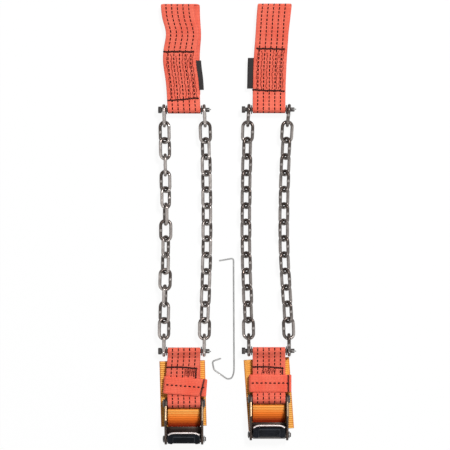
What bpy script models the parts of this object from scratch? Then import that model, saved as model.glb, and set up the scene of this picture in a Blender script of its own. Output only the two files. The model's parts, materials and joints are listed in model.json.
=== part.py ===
"""Two anti-skid tyre bracelets with cam buckles, and their threading hook.

Each bracelet lies flat along Y: a folded anchor strap, an upper pin, two chains side by side, a lower
pin, a lower strap, and a cam buckle on a webbing pad. Metres, Z up, the floor at Z = 0. The origin is
the middle of the first bracelet's pad, on its underside.
"""
import math

import bmesh
import bpy
from mathutils import Matrix, Vector

# Webbing
STRAP_WIDTH = 0.038
STRAP_THICK = 0.0015
LAYER_GAP = 0.0003
STRAP_NECK = 0.0076
KEEPER_WIDTH = 0.020
KEEPER_OVERHANG = 0.0050
KEEPER_FROM_BAR = 0.0182
KEEPER_SHIFT = 0.0014
KEEPER_CLEARANCE = 0.0003

# Pad under the buckle
PAD_WIDTH = 0.053
PAD_LENGTH = 0.083
PAD_THICK = 0.0022
PAD_CORNER = 0.0015
FOLD_HEIGHT = 0.0082

# Chain
LINK_COUNT = 15
LINK_WIRE = 0.004
LINK_WIDTH = 0.016
LINK_PITCH = 0.019
LINK_PLAY = 0.0008
LINK_WELD = 0.0012
LINK_ROLLS = (90, 22, -50)
LINK_ROLL_EVEN = 42
LINK_ROLL_ODD = -44
SETTLE_LINKS = 5
FLOOR_CLEARANCE = 0.0003

# Clevis pins, washers and cotters
PIN_DIAMETER = 0.005
PIN_HEAD_DIAMETER = 0.0078
PIN_HEAD_THICK = 0.004
PIN_TIP = 0.003
WASHER_DIAMETER = 0.0105
WASHER_THICK = 0.0012
SIDE_PLAY = 0.0006
COTTER_WIRE = 0.0013
COTTER_HOLE = 0.0021
COTTER_EYE = 0.0042

# Buckle
STRAP_SPAN = 0.0559
BAR_DIAMETER = 0.008
BAR_HEAD = 0.0018
BAR_FROM_PAD_MIDDLE = 0.005
CHEEK_THICK = 0.0028
CHEEK_PLAY = 0.0007
CHEEK_APEX_HEIGHT = 0.0225
CHEEK_APEX_FROM_BAR = 0.0189
BAR_TO_PIVOT = 0.0415
EAR_RADIUS = 0.0065
FLOOR_THICK = 0.002
FLOOR_FROM_PIVOT = 0.0137
CAM_PIN_DIAMETER = 0.005
CAM_PIN_HEAD = 0.008
CAM_PIN_HEAD_THICK = 0.002
CLIP_THICK = 0.0012

# Cam lever, its cover and its spring; points of the lever are measured from its pivot
LEVER_PLAY = 0.0011
CAM_RADIUS = 0.0039
CAM_GAP = 0.0004
TOOTH_COUNT = 4
LIP_REACH = 0.0122
LIP_HEIGHT = 0.0123
LIP_THICK = 0.0016
LEVER_KNEE = Vector((0.0070, 0.0030))
LEVER_BACK_TOP = Vector((-0.0015, 0.0090))
LEVER_BACK_FOOT = Vector((-0.0042, 0.0040))
TOOTH_START = 0.0010
TOOTH_REACH = 0.0054
TOOTH_RISE = 0.0015
TOOTH_DEPTH = 0.0007
COVER_THICK = 0.0026
COVER_PANEL = 0.0008
COVER_PANEL_WIDTH = 0.026
SPRING_WIRE = 0.0011
SPRING_TURNS = 4
SPRING_PITCH = 0.0018
SPRING_RADIUS = 0.0036
SPRING_LEG = 0.005

# Clearances: meeting faces, and a shaft in its hole
SEAT_GAP = 0.0003
BORE_GAP = 0.00015

# Anchor strap's folded tail, all measured from the upper pin
SEWN_LEG = 0.075
TOP_FOLD = 0.1225
INNER_FOLD = 0.117
NEAR_FOLD = 0.018
TAIL_END = 0.030
RUN_STEPS = 5

# How the first bracelet lies: lean of the anchor strap's top run and of its tail, bow of that lean, sway of
# each chain, play of the pins under their heads, turn of the pad
FIRST_LEAN = 0.050
FIRST_TAIL_LEAN = 0.062
FIRST_BOW = 1
FIRST_SWAY = (-0.0034, -0.0062)
FIRST_HEAD_PLAY = 0.0022
FIRST_PAD_TURN = math.radians(4.0)

# How the second one lies: the same, and the rolls of its twisted left chain from the lower pin up, its
# place, its longer lower strap, its shifted pad and keeper, and its lever, which is not quite shut
SECOND_LEAN = -0.058
SECOND_TAIL_LEAN = -0.007
SECOND_SWAY = (0.0022, 0.0032)
SECOND_LEFT_ROLLS = (90, -27, 35, 100, -10, 55, -60, 10, 75, -45, 32, -92, -32, 30, 90)
SECOND_PAD_TURN = math.radians(1.5)
SECOND_PLACE = Vector((-0.0986, -0.0049, 0))
SECOND_EXTRA_SPAN = 0.0045
SECOND_PAD_SHIFT = Vector((-0.0012, 0.0022, 0))
SECOND_PAD_TUCK = 0.0068
SECOND_KEEPER_LIFT = 0.0013
SECOND_KEEPER_TURN = math.radians(-2.5)
SECOND_LEVER_OPEN = math.radians(13)

# Threading hook: its wire and the points of its bends, from the lower end of its long shank
HOOK_WIRE = 0.0018
HOOK_PLACE = Vector((-0.0405, 0.0295, 0))
HOOK_BENDS = (
    (-0.0173, 0.1258), (-0.0020, 0.1285), (-0.0006, 0.1271), (0.0, 0.0), (-0.0010, -0.0072),
    (-0.0040, -0.0112), (-0.0078, -0.0118), (-0.0126, -0.0095), (-0.0226, -0.0017),
    (-0.0250, 0.0032), (-0.0248, 0.0078), (-0.0154, 0.0121),
)

# Values worked out from the sizes above
LAYER = STRAP_THICK + LAYER_GAP
PIN_HEIGHT = LINK_WIDTH / 2 + FLOOR_CLEARANCE
BEND_RADIUS = (LINK_WIDTH - LINK_WIRE) / 2
CHAIN_HEIGHT = BEND_RADIUS * math.sin(math.radians(-LINK_ROLL_ODD)) + LINK_WIRE / 2 + FLOOR_CLEARANCE
CHAIN_HALF = STRAP_WIDTH / 2 + WASHER_THICK + 2 * SIDE_PLAY + LINK_WIRE / 2
COTTER_X = CHAIN_HALF + LINK_WIRE / 2 + SIDE_PLAY + COTTER_WIRE / 2
CHAIN_SPAN = LINK_COUNT * LINK_PITCH - PIN_DIAMETER
BAR_Y = -BAR_FROM_PAD_MIDDLE
BAR_Z = PAD_THICK + 2 * SEAT_GAP + STRAP_THICK + BAR_DIAMETER / 2
PIVOT_Y = BAR_Y - BAR_TO_PIVOT
FRAME_BOTTOM = PAD_THICK + SEAT_GAP
PIVOT_Z = FRAME_BOTTOM + EAR_RADIUS
FLOOR_TOP = FRAME_BOTTOM + FLOOR_THICK
CHEEK_INSIDE = STRAP_WIDTH / 2 + CHEEK_PLAY
FOLD_WIDTH = 2 * CHEEK_INSIDE - 2 * CHEEK_PLAY
CHEEK_OUTSIDE = CHEEK_INSIDE + CHEEK_THICK
LEVER_WIDTH = 2 * (CHEEK_INSIDE - LEVER_PLAY)

# Turning an outline drawn in X and Y so that it lies in the Y-Z plane, or in the X-Z plane, or not at all
SIDE_ON = (math.pi / 2, 0, math.pi / 2)
END_ON = (math.pi / 2, 0, 0)
UPRIGHT = (0, 0, 0)

RED = (0.85, 0.13, 0.06)
YELLOW = (0.95, 0.42, 0.04)
ZINC = (0.55, 0.54, 0.50)
STEEL = (0.22, 0.20, 0.18)
DARK_STEEL = (0.06, 0.06, 0.06)
BLACK = (0.015, 0.016, 0.02)


def new_collection(name):
    collection = bpy.data.collections.new(name)
    bpy.context.scene.collection.children.link(collection)
    return collection


def material(name, colour, roughness, metallic):
    made = bpy.data.materials.new(name)
    made.use_nodes = True
    shader = made.node_tree.nodes["Principled BSDF"]
    shader.inputs["Base Color"].default_value = (*colour, 1)
    shader.inputs["Roughness"].default_value = roughness
    shader.inputs["Metallic"].default_value = metallic
    return made


def webbing(name, colour):
    return material(name, colour, 0.9, 0.0)


def metal(name, colour):
    return material(name, colour, 0.35, 1.0)


def keep(obj, parent, finish):
    """Put a finished piece in the object's collection, under its parent, with its own material."""
    for collection in obj.users_collection:
        collection.objects.unlink(obj)
    PIECES.objects.link(obj)
    obj.parent = parent
    obj.data.materials.clear()
    obj.data.materials.append(finish)
    return obj


def empty(name, place, parent=None):
    made = bpy.data.objects.new(name, None)
    made.empty_display_size = 0.01
    made.location = place
    made.parent = parent
    PIECES.objects.link(made)
    return made


def curve(name, points, cyclic, flat):
    """A straight-sided spline through points, as a new object in the scene."""
    data = bpy.data.curves.new(name, "CURVE")
    data.dimensions = "2D" if flat else "3D"
    spline = data.splines.new("POLY")
    spline.points.add(len(points) - 1)
    for point, place in zip(spline.points, points):
        point.co = (*place, 0, 1) if flat else (*place, 1)
    spline.use_cyclic_u = cyclic
    made = bpy.data.objects.new(name, data)
    PIECES.objects.link(made)
    return made


def meshed(obj):
    """The same object as a mesh, with its loose caps welded on."""
    bpy.context.view_layer.update()
    graph = bpy.context.evaluated_depsgraph_get()
    mesh = bpy.data.meshes.new_from_object(obj.evaluated_get(graph))
    shape = bmesh.new()
    shape.from_mesh(mesh)
    bmesh.ops.remove_doubles(shape, verts=shape.verts, dist=1e-6)
    shape.to_mesh(mesh)
    shape.free()
    name = obj.name
    bpy.data.objects.remove(obj)
    made = bpy.data.objects.new(name, mesh)
    PIECES.objects.link(made)
    return made


def wire(name, points, diameter, cyclic=False, resolution=1):
    made = curve(name, points, cyclic, flat=False)
    made.data.bevel_depth = diameter / 2
    made.data.bevel_resolution = resolution
    made.data.use_fill_caps = not cyclic
    return made


def slab(name, outline, width, turn=SIDE_ON):
    """A closed outline given a width, half to each side of its plane."""
    made = curve(name, outline, cyclic=True, flat=True)
    made.data.fill_mode = "BOTH"
    made.data.extrude = width / 2
    made = meshed(made)
    made.rotation_euler = turn
    return made


def ribbon(name, path, width, cyclic=False, turn=SIDE_ON):
    """Webbing that follows a path, its thickness half to each side."""
    made = curve(name, path, cyclic, flat=True)
    made.data.fill_mode = "NONE"
    made.data.extrude = width / 2
    made = meshed(made)
    made.rotation_euler = turn
    thick = made.modifiers.new("Thickness", "SOLIDIFY")
    thick.thickness = STRAP_THICK
    thick.offset = 0
    thick.use_even_offset = True
    return made


def turned(name, profile, steps=16, closed=False):
    """A profile of (radius, place along X) pairs turned round X, drawn from its right end to its left."""
    mesh = bpy.data.meshes.new(name)
    shape = bmesh.new()
    verts = [shape.verts.new((radius, 0, along)) for radius, along in profile]
    for start, stop in zip(verts, verts[1:] + (verts[:1] if closed else [])):
        shape.edges.new((start, stop))
    shape.to_mesh(mesh)
    shape.free()
    made = bpy.data.objects.new(name, mesh)
    PIECES.objects.link(made)
    made.rotation_euler = SIDE_ON
    screw = made.modifiers.new("Turn", "SCREW")
    screw.steps = steps
    screw.render_steps = steps
    screw.use_merge_vertices = True
    screw.merge_threshold = 1e-5
    screw.use_smooth_shade = True
    return made


def box(name, low, high, parent):
    """A box between two corners, as a cutter."""
    mesh = bpy.data.meshes.new(name)
    shape = bmesh.new()
    bmesh.ops.create_cube(shape, size=1)
    size = Vector(high) - Vector(low)
    bmesh.ops.scale(shape, vec=size, verts=shape.verts)
    bmesh.ops.translate(shape, vec=(Vector(low) + Vector(high)) / 2, verts=shape.verts)
    shape.to_mesh(mesh)
    shape.free()
    return cutter(bpy.data.objects.new(name, mesh), parent)


def drill(name, centre, diameter, length, parent, turn=SIDE_ON):
    """A round hole's cutter, along X unless turned."""
    mesh = bpy.data.meshes.new(name)
    shape = bmesh.new()
    bmesh.ops.create_cone(
        shape, cap_ends=True, segments=16, radius1=diameter / 2, radius2=diameter / 2, depth=length)
    shape.to_mesh(mesh)
    shape.free()
    made = bpy.data.objects.new(name, mesh)
    made.location = centre
    made.rotation_euler = turn
    return cutter(made, parent)


def cutter(obj, parent):
    for collection in obj.users_collection:
        collection.objects.unlink(obj)
    CUTTERS.objects.link(obj)
    obj.parent = parent
    obj.hide_render = True
    obj.display_type = "WIRE"
    return obj


def combine(obj, others, operation):
    for other in others:
        modifier = obj.modifiers.new(other.name, "BOOLEAN")
        modifier.operation = operation
        modifier.solver = "EXACT"
        modifier.object = other
    return obj


def arc(centre, radius, start, stop, steps):
    """Points on an arc of the Y-Z plane, its angles in degrees from +Y towards +Z."""
    turns = [math.radians(start + (stop - start) * step / steps) for step in range(steps + 1)]
    return [(centre[0] + radius * math.cos(turn), centre[1] + radius * math.sin(turn)) for turn in turns]


def tangent(centre, radius, point, side):
    """The angle on a circle where a line from an outside point touches it, on its +1 or -1 side."""
    reach = Vector(point) - Vector(centre)
    return math.degrees(math.atan2(reach.y, reach.x) + side * math.acos(radius / reach.length))


def wrap_radius(diameter):
    """The middle of a strap wrapped on a round bar."""
    return diameter / 2 + SEAT_GAP + STRAP_THICK / 2


class Lay:
    """Where one bracelet's pieces lie: as laid straight, unless its own values say otherwise."""

    bow = 0
    head_play = SIDE_PLAY
    left_rolls = None
    extra_span = 0
    pad_shift = Vector((0, 0, 0))
    pad_tuck = 0
    keeper_lift = 0
    keeper_turn = 0
    lever_open = 0

    def __init__(self, prefix, place, **lie):
        self.prefix = prefix
        self.frame = empty(prefix + "bracelet", place)
        for key, value in lie.items():
            setattr(self, key, value)
        self.lower_pin = Vector((0, BAR_Y + STRAP_SPAN + self.extra_span, PIN_HEIGHT))
        self.upper_pin = self.lower_pin + Vector((0, CHAIN_SPAN, 0))

    def name(self, piece):
        return self.prefix + piece

    def junction(self, side, number):
        """Where link number meets the next one, in the left (0) or right (1) chain."""
        share = number / LINK_COUNT
        ends = min(number, LINK_COUNT - number, SETTLE_LINKS) / SETTLE_LINKS
        x = (CHAIN_HALF if side else -CHAIN_HALF) + self.sway[side] * math.sin(math.pi * share) ** 2
        y = self.lower_pin.y - PIN_DIAMETER / 2 + number * LINK_PITCH
        settled = CHAIN_HEIGHT + (PIN_HEIGHT - CHAIN_HEIGHT) * math.cos(math.pi / 2 * ends) ** 2
        beside = [link for link in (number, number + 1) if 1 <= link <= LINK_COUNT]
        rests = [BEND_RADIUS * abs(math.sin(math.radians(self.roll(side, link)))) for link in beside]
        return Vector((x, y, max(settled, max(rests) + LINK_WIRE / 2 + FLOOR_CLEARANCE)))

    def roll(self, side, number):
        """A link's roll about the chain in degrees: on edge at the pins, then leaning each way in turn."""
        if self.left_rolls and side == 0:
            return self.left_rolls[number - 1]
        from_end = min(number, LINK_COUNT + 1 - number)
        if from_end <= len(LINK_ROLLS):
            return LINK_ROLLS[from_end - 1]
        return LINK_ROLL_EVEN if number % 2 == 0 else LINK_ROLL_ODD

    def strap_shift(self, along, depth):
        """How far the anchor strap lies to the right: its top run one way, the tail under it another."""
        lean = self.lean + (self.tail_lean - self.lean) * depth
        return lean * along * (max(0, along) / TOP_FOLD) ** self.bow


def link_curve(name, inner_length):
    """One welded link: a wire bent to two half rounds and two straights, along Y in the X-Y plane."""
    centre = inner_length / 2 + LINK_WIRE / 2 - BEND_RADIUS
    top = arc((0, centre), BEND_RADIUS, 0, 180, 6)
    bottom = arc((0, -centre), BEND_RADIUS, 180, 360, 6)
    return wire(name, [(x, y, 0) for x, y in top + bottom], LINK_WIRE, cyclic=True)


def link_matrix(lay, side, number, start_play, end_play):
    """A link's place between its two junctions, rolled to its own side."""
    start = lay.junction(side, number - 1)
    stop = lay.junction(side, number)
    along = (stop - start).normalized()
    across = along.cross(Vector((0, 0, 1))).normalized()
    lift = across.cross(along)
    turn = Matrix((across, along, lift)).transposed().to_4x4()
    roll = math.radians(lay.roll(side, number)) * (1 if side else -1)
    middle = (start + stop) / 2 + along * (end_play - start_play) / 2
    return Matrix.Translation(middle) @ turn @ Matrix.Rotation(roll, 4, "Y")


def loose_chains(lay):
    """Thirty separate links. Each row of two hangs on an empty at its joint with the row before."""
    for number in range(1, LINK_COUNT + 1):
        joint = lay.lower_pin if number == 1 else lay.junction(0, number - 1)
        row = empty(lay.name(f"chain_row_{number:02d}"), Vector((0, joint.y, joint.z)), lay.frame)
        for side, word in enumerate(("left", "right")):
            name = lay.name(f"chain_link_{word}_{number:02d}")
            link = link_curve(name, LINK_PITCH + LINK_PLAY)
            link.matrix_basis = Matrix.Translation(-row.location) @ link_matrix(lay, side, number, 0, 0)
            keep(link, row, metal(name, STEEL))


def welded_chain(lay, side, word):
    """A whole chain as one solid: each link is drawn up into the next and joined to it."""
    weld = -LINK_WELD / 2
    pieces = []
    for number in range(1, LINK_COUNT + 1):
        start_play = LINK_PLAY / 2 if number == 1 else weld
        end_play = LINK_PLAY / 2 if number == LINK_COUNT else weld
        piece = meshed(link_curve(f"{word}_link_{number:02d}", LINK_PITCH + start_play + end_play))
        piece.data.transform(link_matrix(lay, side, number, start_play, end_play))
        pieces.append(piece)
    chain, rest = pieces[0], pieces[1:]
    chain.name = lay.name(f"chain_{word}")
    combine(chain, [cutter(piece, lay.frame) for piece in rest], "UNION")
    keep(chain, lay.frame, metal(chain.name, STEEL))


def pin(lay, name, place):
    """A clevis pin through both end links and the strap: its head on the left, a cotter hole on the right."""
    head = -(CHAIN_HALF + LINK_WIRE / 2 + lay.head_play)
    tip = COTTER_X + PIN_TIP
    radius = PIN_DIAMETER / 2
    crown = PIN_HEAD_DIAMETER / 2
    edge = radius / 5
    made = turned(name, [
        (0, tip), (radius - edge, tip), (radius, tip - edge), (radius, head), (crown, head),
        (crown, head - PIN_HEAD_THICK + edge), (crown - edge, head - PIN_HEAD_THICK),
        (0, head - PIN_HEAD_THICK)])
    made.location = place
    hole = drill(name + "_hole", place + Vector((COTTER_X, 0, 0)), COTTER_HOLE, 2 * PIN_DIAMETER, lay.frame,
                 UPRIGHT)
    combine(made, [hole], "DIFFERENCE")
    return keep(made, lay.frame, metal(name, ZINC))


def washer(lay, name, place, x, bore, diameter, thick):
    """A flat ring on a pin, its inner face at x."""
    made = turned(name, [
        (diameter / 2, x + thick), (diameter / 2, x), (bore / 2, x), (bore / 2, x + thick)], closed=True)
    made.location = place
    return keep(made, lay.frame, metal(name, ZINC))


def cotter(lay, name, place):
    """A wire cotter: a leg down through the pin's hole, bent round to an eye above the pin."""
    eye = COTTER_EYE / 2
    reach = PIN_DIAMETER / 2 + eye + COTTER_WIRE
    loop = arc((eye, reach), eye, 180, -90, 10)
    made = wire(name, [(0, 0, COTTER_WIRE - reach)] + [(x, 0, z) for x, z in loop], COTTER_WIRE)
    made.location = place + Vector((COTTER_X, 0, 0))
    return keep(made, lay.frame, metal(name, ZINC))


def pin_set(lay, end, place):
    """A pin with its cotter and the two washers that hold the end links off the strap."""
    pin(lay, lay.name(end + "_pin"), place)
    cotter(lay, lay.name(end + "_cotter"), place)
    inner = STRAP_WIDTH / 2 + SIDE_PLAY
    for word, x in (("left", -inner - WASHER_THICK), ("right", inner)):
        washer(lay, lay.name(f"{end}_washer_{word}"), place, x, PIN_DIAMETER + 2 * BORE_GAP,
               WASHER_DIAMETER, WASHER_THICK)


def anchor_strap(lay):
    """The long strap: a sewn leg, a loop round the upper pin, and a tail folded to a flat stack."""
    level = [STRAP_THICK / 2 + LAYER * step - PIN_HEIGHT for step in range(5)]
    radius = wrap_radius(PIN_DIAMETER)
    leg = (NEAR_FOLD, level[3])
    run = (NEAR_FOLD, level[4])
    tight = LAYER / 2
    loop = arc((0, 0), radius, 360 + tangent((0, 0), radius, leg, -1), tangent((0, 0), radius, run, 1), 10)
    folds = [
        [leg] + loop + [run],
        arc((TOP_FOLD - LAYER, level[3]), LAYER, 90, -90, 6),
        arc((NEAR_FOLD + tight, (level[2] + level[1]) / 2), tight, 90, 270, 4),
        arc((INNER_FOLD - tight, (level[1] + level[0]) / 2), tight, 90, -90, 4),
        [(TAIL_END, level[0])]]
    path = [(SEWN_LEG, level[3])]
    for fold in folds:
        start, stop = Vector(path[-1]), Vector(fold[0])
        path += [tuple(start.lerp(stop, step / RUN_STEPS)) for step in range(1, RUN_STEPS)] + fold
    made = ribbon(lay.name("anchor_strap"), path, STRAP_WIDTH)
    for vert in made.data.vertices:
        depth = min(1, max(0, (level[4] - vert.co.y) / (2 * LAYER)))
        vert.co.z += lay.strap_shift(vert.co.x, depth)
    made.location = lay.upper_pin
    return keep(made, lay.frame, webbing(made.name, RED))


def strap_level():
    """The height of the lower strap's middle, between its two legs."""
    return (BAR_Z + PIN_HEIGHT) / 2


def lower_strap(lay):
    """A closed loop of webbing round the strap bar and the lower pin, its two legs lying together."""
    bar = (BAR_Y, BAR_Z)
    pin_centre = (lay.lower_pin.y, lay.lower_pin.z)
    on_bar = wrap_radius(BAR_DIAMETER)
    on_pin = wrap_radius(PIN_DIAMETER)
    high = strap_level() + LAYER / 2
    low = strap_level() - LAYER / 2
    near = [(BAR_Y + STRAP_NECK, low), (BAR_Y + STRAP_NECK, high)]
    far = [(lay.lower_pin.y - STRAP_NECK, low), (lay.lower_pin.y - STRAP_NECK, high)]
    path = arc(bar, on_bar, tangent(bar, on_bar, near[1], 1), 360 + tangent(bar, on_bar, near[0], -1), 10)
    path += [near[0], far[0]]
    start = tangent(pin_centre, on_pin, far[0], 1)
    stop = tangent(pin_centre, on_pin, far[1], -1)
    path += arc(pin_centre, on_pin, (start + 180) % 360 - 180, (stop + 180) % 360 - 180, 10)
    path += [far[1], near[1]]
    made = ribbon(lay.name("lower_strap"), path, STRAP_WIDTH, cyclic=True)
    return keep(made, lay.frame, webbing(made.name, RED))


def keeper(lay):
    """A closed webbing band round the lower strap."""
    radius = LAYER_GAP / 2 + STRAP_THICK + KEEPER_CLEARANCE + STRAP_THICK / 2
    half = STRAP_WIDTH / 2 + KEEPER_OVERHANG - radius
    path = arc((half, 0), radius, -90, 90, 6) + arc((-half, 0), radius, 90, 270, 6)
    made = ribbon(lay.name("keeper"), path, KEEPER_WIDTH, cyclic=True, turn=END_ON)
    made.rotation_euler.z = lay.keeper_turn
    made.location = (KEEPER_SHIFT, BAR_Y + KEEPER_FROM_BAR + lay.keeper_lift, strap_level())
    return keep(made, lay.frame, webbing(made.name, RED))


def pad(lay):
    """The webbing pad, laid a little askew or tucked at its foot, with its raised fold between the cheeks."""
    half_x = PAD_WIDTH / 2 - PAD_CORNER
    top = PAD_LENGTH / 2 - PAD_CORNER
    foot = lay.pad_tuck - top
    corners = ((half_x, top, 0), (-half_x, top, 90), (-half_x, foot, 180), (half_x, foot, 270))
    outline = [point for x, y, turn in corners for point in arc((x, y), PAD_CORNER, turn, turn + 90, 3)]
    made = slab(lay.name("pad"), outline, PAD_THICK, turn=(0, 0, lay.pad_turn))
    made.location = lay.pad_shift + Vector((0, 0, PAD_THICK / 2))
    front = BAR_Y - wrap_radius(BAR_DIAMETER) - STRAP_THICK / 2 - SEAT_GAP
    rear = PIVOT_Y + FLOOR_FROM_PIVOT + 2 * SEAT_GAP
    steps = 8
    rise = [(front + (rear - front) * step / steps,
             PAD_THICK + SEAT_GAP + (FOLD_HEIGHT - PAD_THICK) * math.cos(math.pi / 2 * step / steps))
            for step in range(steps + 1)]
    fold = slab(lay.name("pad_fold"), [(front, PAD_THICK / 2)] + rise + [(rear, PAD_THICK / 2)], FOLD_WIDTH)
    combine(made, [cutter(fold, lay.frame)], "UNION")
    return keep(made, lay.frame, webbing(made.name, YELLOW))


def buckle_frame(lay, loose):
    """Two cheeks and a floor in one stamping; a loose bar and pin have holes, fixed ones are joined in."""
    bar = Vector((BAR_Y, BAR_Z))
    pivot = Vector((PIVOT_Y, PIVOT_Z))
    apex_round = EAR_RADIUS / 2
    apex = (BAR_Y - CHEEK_APEX_FROM_BAR, CHEEK_APEX_HEIGHT - apex_round)
    outline = arc(bar, BAR_Z - FRAME_BOTTOM, -90, 70, 8) + arc(apex, apex_round, 60, 120, 4)
    outline += arc(pivot, EAR_RADIUS, 110, 270, 10)
    made = slab(lay.name("buckle_frame"), [point - bar for point in map(Vector, outline)], 2 * CHEEK_OUTSIDE)
    made.location = (0, BAR_Y, BAR_Z)
    front = PIVOT_Y + FLOOR_FROM_PIVOT
    rear = PIVOT_Y - 2 * EAR_RADIUS
    room = slab(lay.name("buckle_room"), [
        (rear, FLOOR_TOP), (front, FLOOR_TOP), (front, 0), (lay.lower_pin.y, 0),
        (lay.lower_pin.y, 2 * CHEEK_APEX_HEIGHT), (rear, 2 * CHEEK_APEX_HEIGHT)], 2 * CHEEK_INSIDE)
    combine(made, [cutter(room, lay.frame)], "DIFFERENCE")
    shafts = (("bar", bar, BAR_DIAMETER), ("cam_pin", pivot, CAM_PIN_DIAMETER))
    for word, centre, diameter in shafts:
        place = Vector((0, centre.x, centre.y))
        name = lay.name(word + "_shaft")
        if loose:
            hole = drill(name, place, diameter + 2 * BORE_GAP, 4 * CHEEK_OUTSIDE, lay.frame)
            combine(made, [hole], "DIFFERENCE")
        else:
            shaft = drill(name, place, diameter, 2 * (CHEEK_OUTSIDE + BAR_HEAD), lay.frame)
            combine(made, [shaft], "UNION")
    return keep(made, lay.frame, metal(made.name, ZINC))


def strap_bar(lay):
    """The bar the lower strap pulls on, headed at both ends."""
    radius = BAR_DIAMETER / 2
    crown = radius + BAR_HEAD / 2
    inner = CHEEK_OUTSIDE + SEAT_GAP
    outer = inner + BAR_HEAD
    made = turned(lay.name("strap_bar"), [
        (0, outer), (radius, outer), (crown, inner + BAR_HEAD / 2), (crown, inner), (radius, inner),
        (radius, -inner), (crown, -inner), (crown, -inner - BAR_HEAD / 2), (radius, -outer), (0, -outer)])
    made.location = (0, BAR_Y, BAR_Z)
    return keep(made, lay.frame, metal(made.name, ZINC))


def cam_pin(lay):
    """The pin the lever turns on, headed on the left, with a clip on its right end."""
    place = Vector((0, PIVOT_Y, PIVOT_Z))
    radius = CAM_PIN_DIAMETER / 2
    crown = CAM_PIN_HEAD / 2
    head = -CHEEK_OUTSIDE - SEAT_GAP
    tip = CHEEK_OUTSIDE + 2 * SEAT_GAP + 2 * CLIP_THICK
    made = turned(lay.name("cam_pin"), [
        (0, tip), (radius, tip), (radius, head), (crown, head), (crown, head - CAM_PIN_HEAD_THICK / 2),
        (radius, head - CAM_PIN_HEAD_THICK), (0, head - CAM_PIN_HEAD_THICK)])
    made.location = place
    keep(made, lay.frame, metal(made.name, ZINC))
    washer(lay, lay.name("cam_pin_clip"), place, CHEEK_OUTSIDE + SEAT_GAP, CAM_PIN_DIAMETER + 2 * BORE_GAP,
           CAM_PIN_HEAD, CLIP_THICK)


def lever_outline():
    """The cam's hub, its toothed nose over the floor, the lifting lip, and the back the cover lies on."""
    depth = FLOOR_TOP + CAM_GAP - PIVOT_Z
    outline = arc((0, 0), CAM_RADIUS, 180, 265, 5)
    for step in range(2 * TOOTH_COUNT + 1):
        share = step / (2 * TOOTH_COUNT)
        root = TOOTH_DEPTH if step % 2 else 0
        outline.append((TOOTH_START + TOOTH_REACH * share, depth + TOOTH_RISE * share + root))
    outline += [tuple(LEVER_KNEE), (LIP_REACH - LIP_THICK, LIP_HEIGHT - 2 * LIP_THICK),
                (LIP_REACH, LIP_HEIGHT - LIP_THICK), (LIP_REACH, LIP_HEIGHT - LIP_THICK / 3),
                (LIP_REACH - LIP_THICK / 3, LIP_HEIGHT), (LIP_REACH - LIP_THICK, LIP_HEIGHT)]
    return outline + [tuple(LEVER_BACK_TOP), tuple(LEVER_BACK_FOOT)]


def cover_outlines(gap):
    """The cover's own outline and its raised panel's, lying on the lever's back with a gap."""
    lip = Vector((LIP_REACH - LIP_THICK, LIP_HEIGHT))
    lift = Vector((0, gap))
    front = lip + lift
    back = LEVER_BACK_TOP + Vector((-gap / 2, gap))
    foot = LEVER_BACK_FOOT + Vector((-gap, gap / 2))
    thick = Vector((0, COVER_THICK))
    back_out = back + thick + Vector((-COVER_THICK / 2, 0))
    foot_out = foot - Vector((COVER_THICK / 2, 0))
    bevel = COVER_THICK / 3
    crest = front + thick - Vector((bevel, 0))
    body = [front, front + thick - Vector((0, bevel)), crest, back_out, foot_out, foot, back]
    low = crest.lerp(back_out, 0.14)
    high = crest.lerp(back_out, 0.86)
    sink = Vector((0, COVER_THICK / 2))
    rise = Vector((0, COVER_PANEL))
    panel = [low - sink, low + rise, high + rise, high - sink]
    return [tuple(point) for point in body], [tuple(point) for point in panel]


def cam_lever(lay, loose):
    """The toothed lever with its spring slot; its cover is a piece of its own, or joined in."""
    pivot = empty(lay.name("lever_pivot"), Vector((0, PIVOT_Y, PIVOT_Z)), lay.frame)
    pivot.rotation_euler.x = lay.lever_open
    made = slab(lay.name("cam_lever"), lever_outline(), LEVER_WIDTH)
    body, panel = cover_outlines(SEAT_GAP if loose else -SEAT_GAP)
    cover = slab(lay.name("lever_cover"), body, LEVER_WIDTH)
    raised = cutter(slab(lay.name("cover_panel"), panel, COVER_PANEL_WIDTH), pivot)
    if loose:
        combine(cover, [raised], "UNION")
        keep(cover, pivot, material(cover.name, BLACK, 0.45, 0.0))
    else:
        combine(made, [cutter(cover, pivot), raised], "UNION")
    coil = SPRING_RADIUS + SPRING_WIRE / 2 + SEAT_GAP
    half = (SPRING_TURNS + 0.5) * SPRING_PITCH / 2 + SPRING_WIRE
    reach = 2 * CAM_RADIUS
    slot = box(lay.name("spring_slot"), (-half, -reach, -PIVOT_Z), (half, reach, coil), pivot)
    bore = drill(lay.name("lever_bore"), (0, 0, 0), CAM_PIN_DIAMETER + 2 * BORE_GAP, 2 * LEVER_WIDTH, pivot)
    combine(made, [slot, bore], "DIFFERENCE")
    return keep(made, pivot, metal(made.name, DARK_STEEL))


def cam_spring(lay):
    """A torsion spring on the cam pin: one leg along the floor, the other up under the lever."""
    sweep = 360 * SPRING_TURNS + 180
    steps = 8 * SPRING_TURNS + 4
    length = sweep / 360 * SPRING_PITCH
    points = [(-length / 2, SPRING_LEG, -SPRING_RADIUS)]
    for step in range(steps + 1):
        turn = math.radians(-90 - sweep * step / steps)
        points.append((length * (step / steps - 0.5), SPRING_RADIUS * math.cos(turn),
                       SPRING_RADIUS * math.sin(turn)))
    points.append((length / 2, SPRING_LEG, SPRING_RADIUS))
    coil = [Vector(point) for point in points]
    near = min((coil[i] - coil[j]).length for i in range(len(coil)) for j in range(i + 5, len(coil)))
    print("least gap of the cam spring to itself, mm:", round((near - SPRING_WIRE) * 1000, 2))
    made = wire(lay.name("cam_spring"), points, SPRING_WIRE)
    made.location = (0, PIVOT_Y, PIVOT_Z)
    return keep(made, lay.frame, metal(made.name, STEEL))


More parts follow.
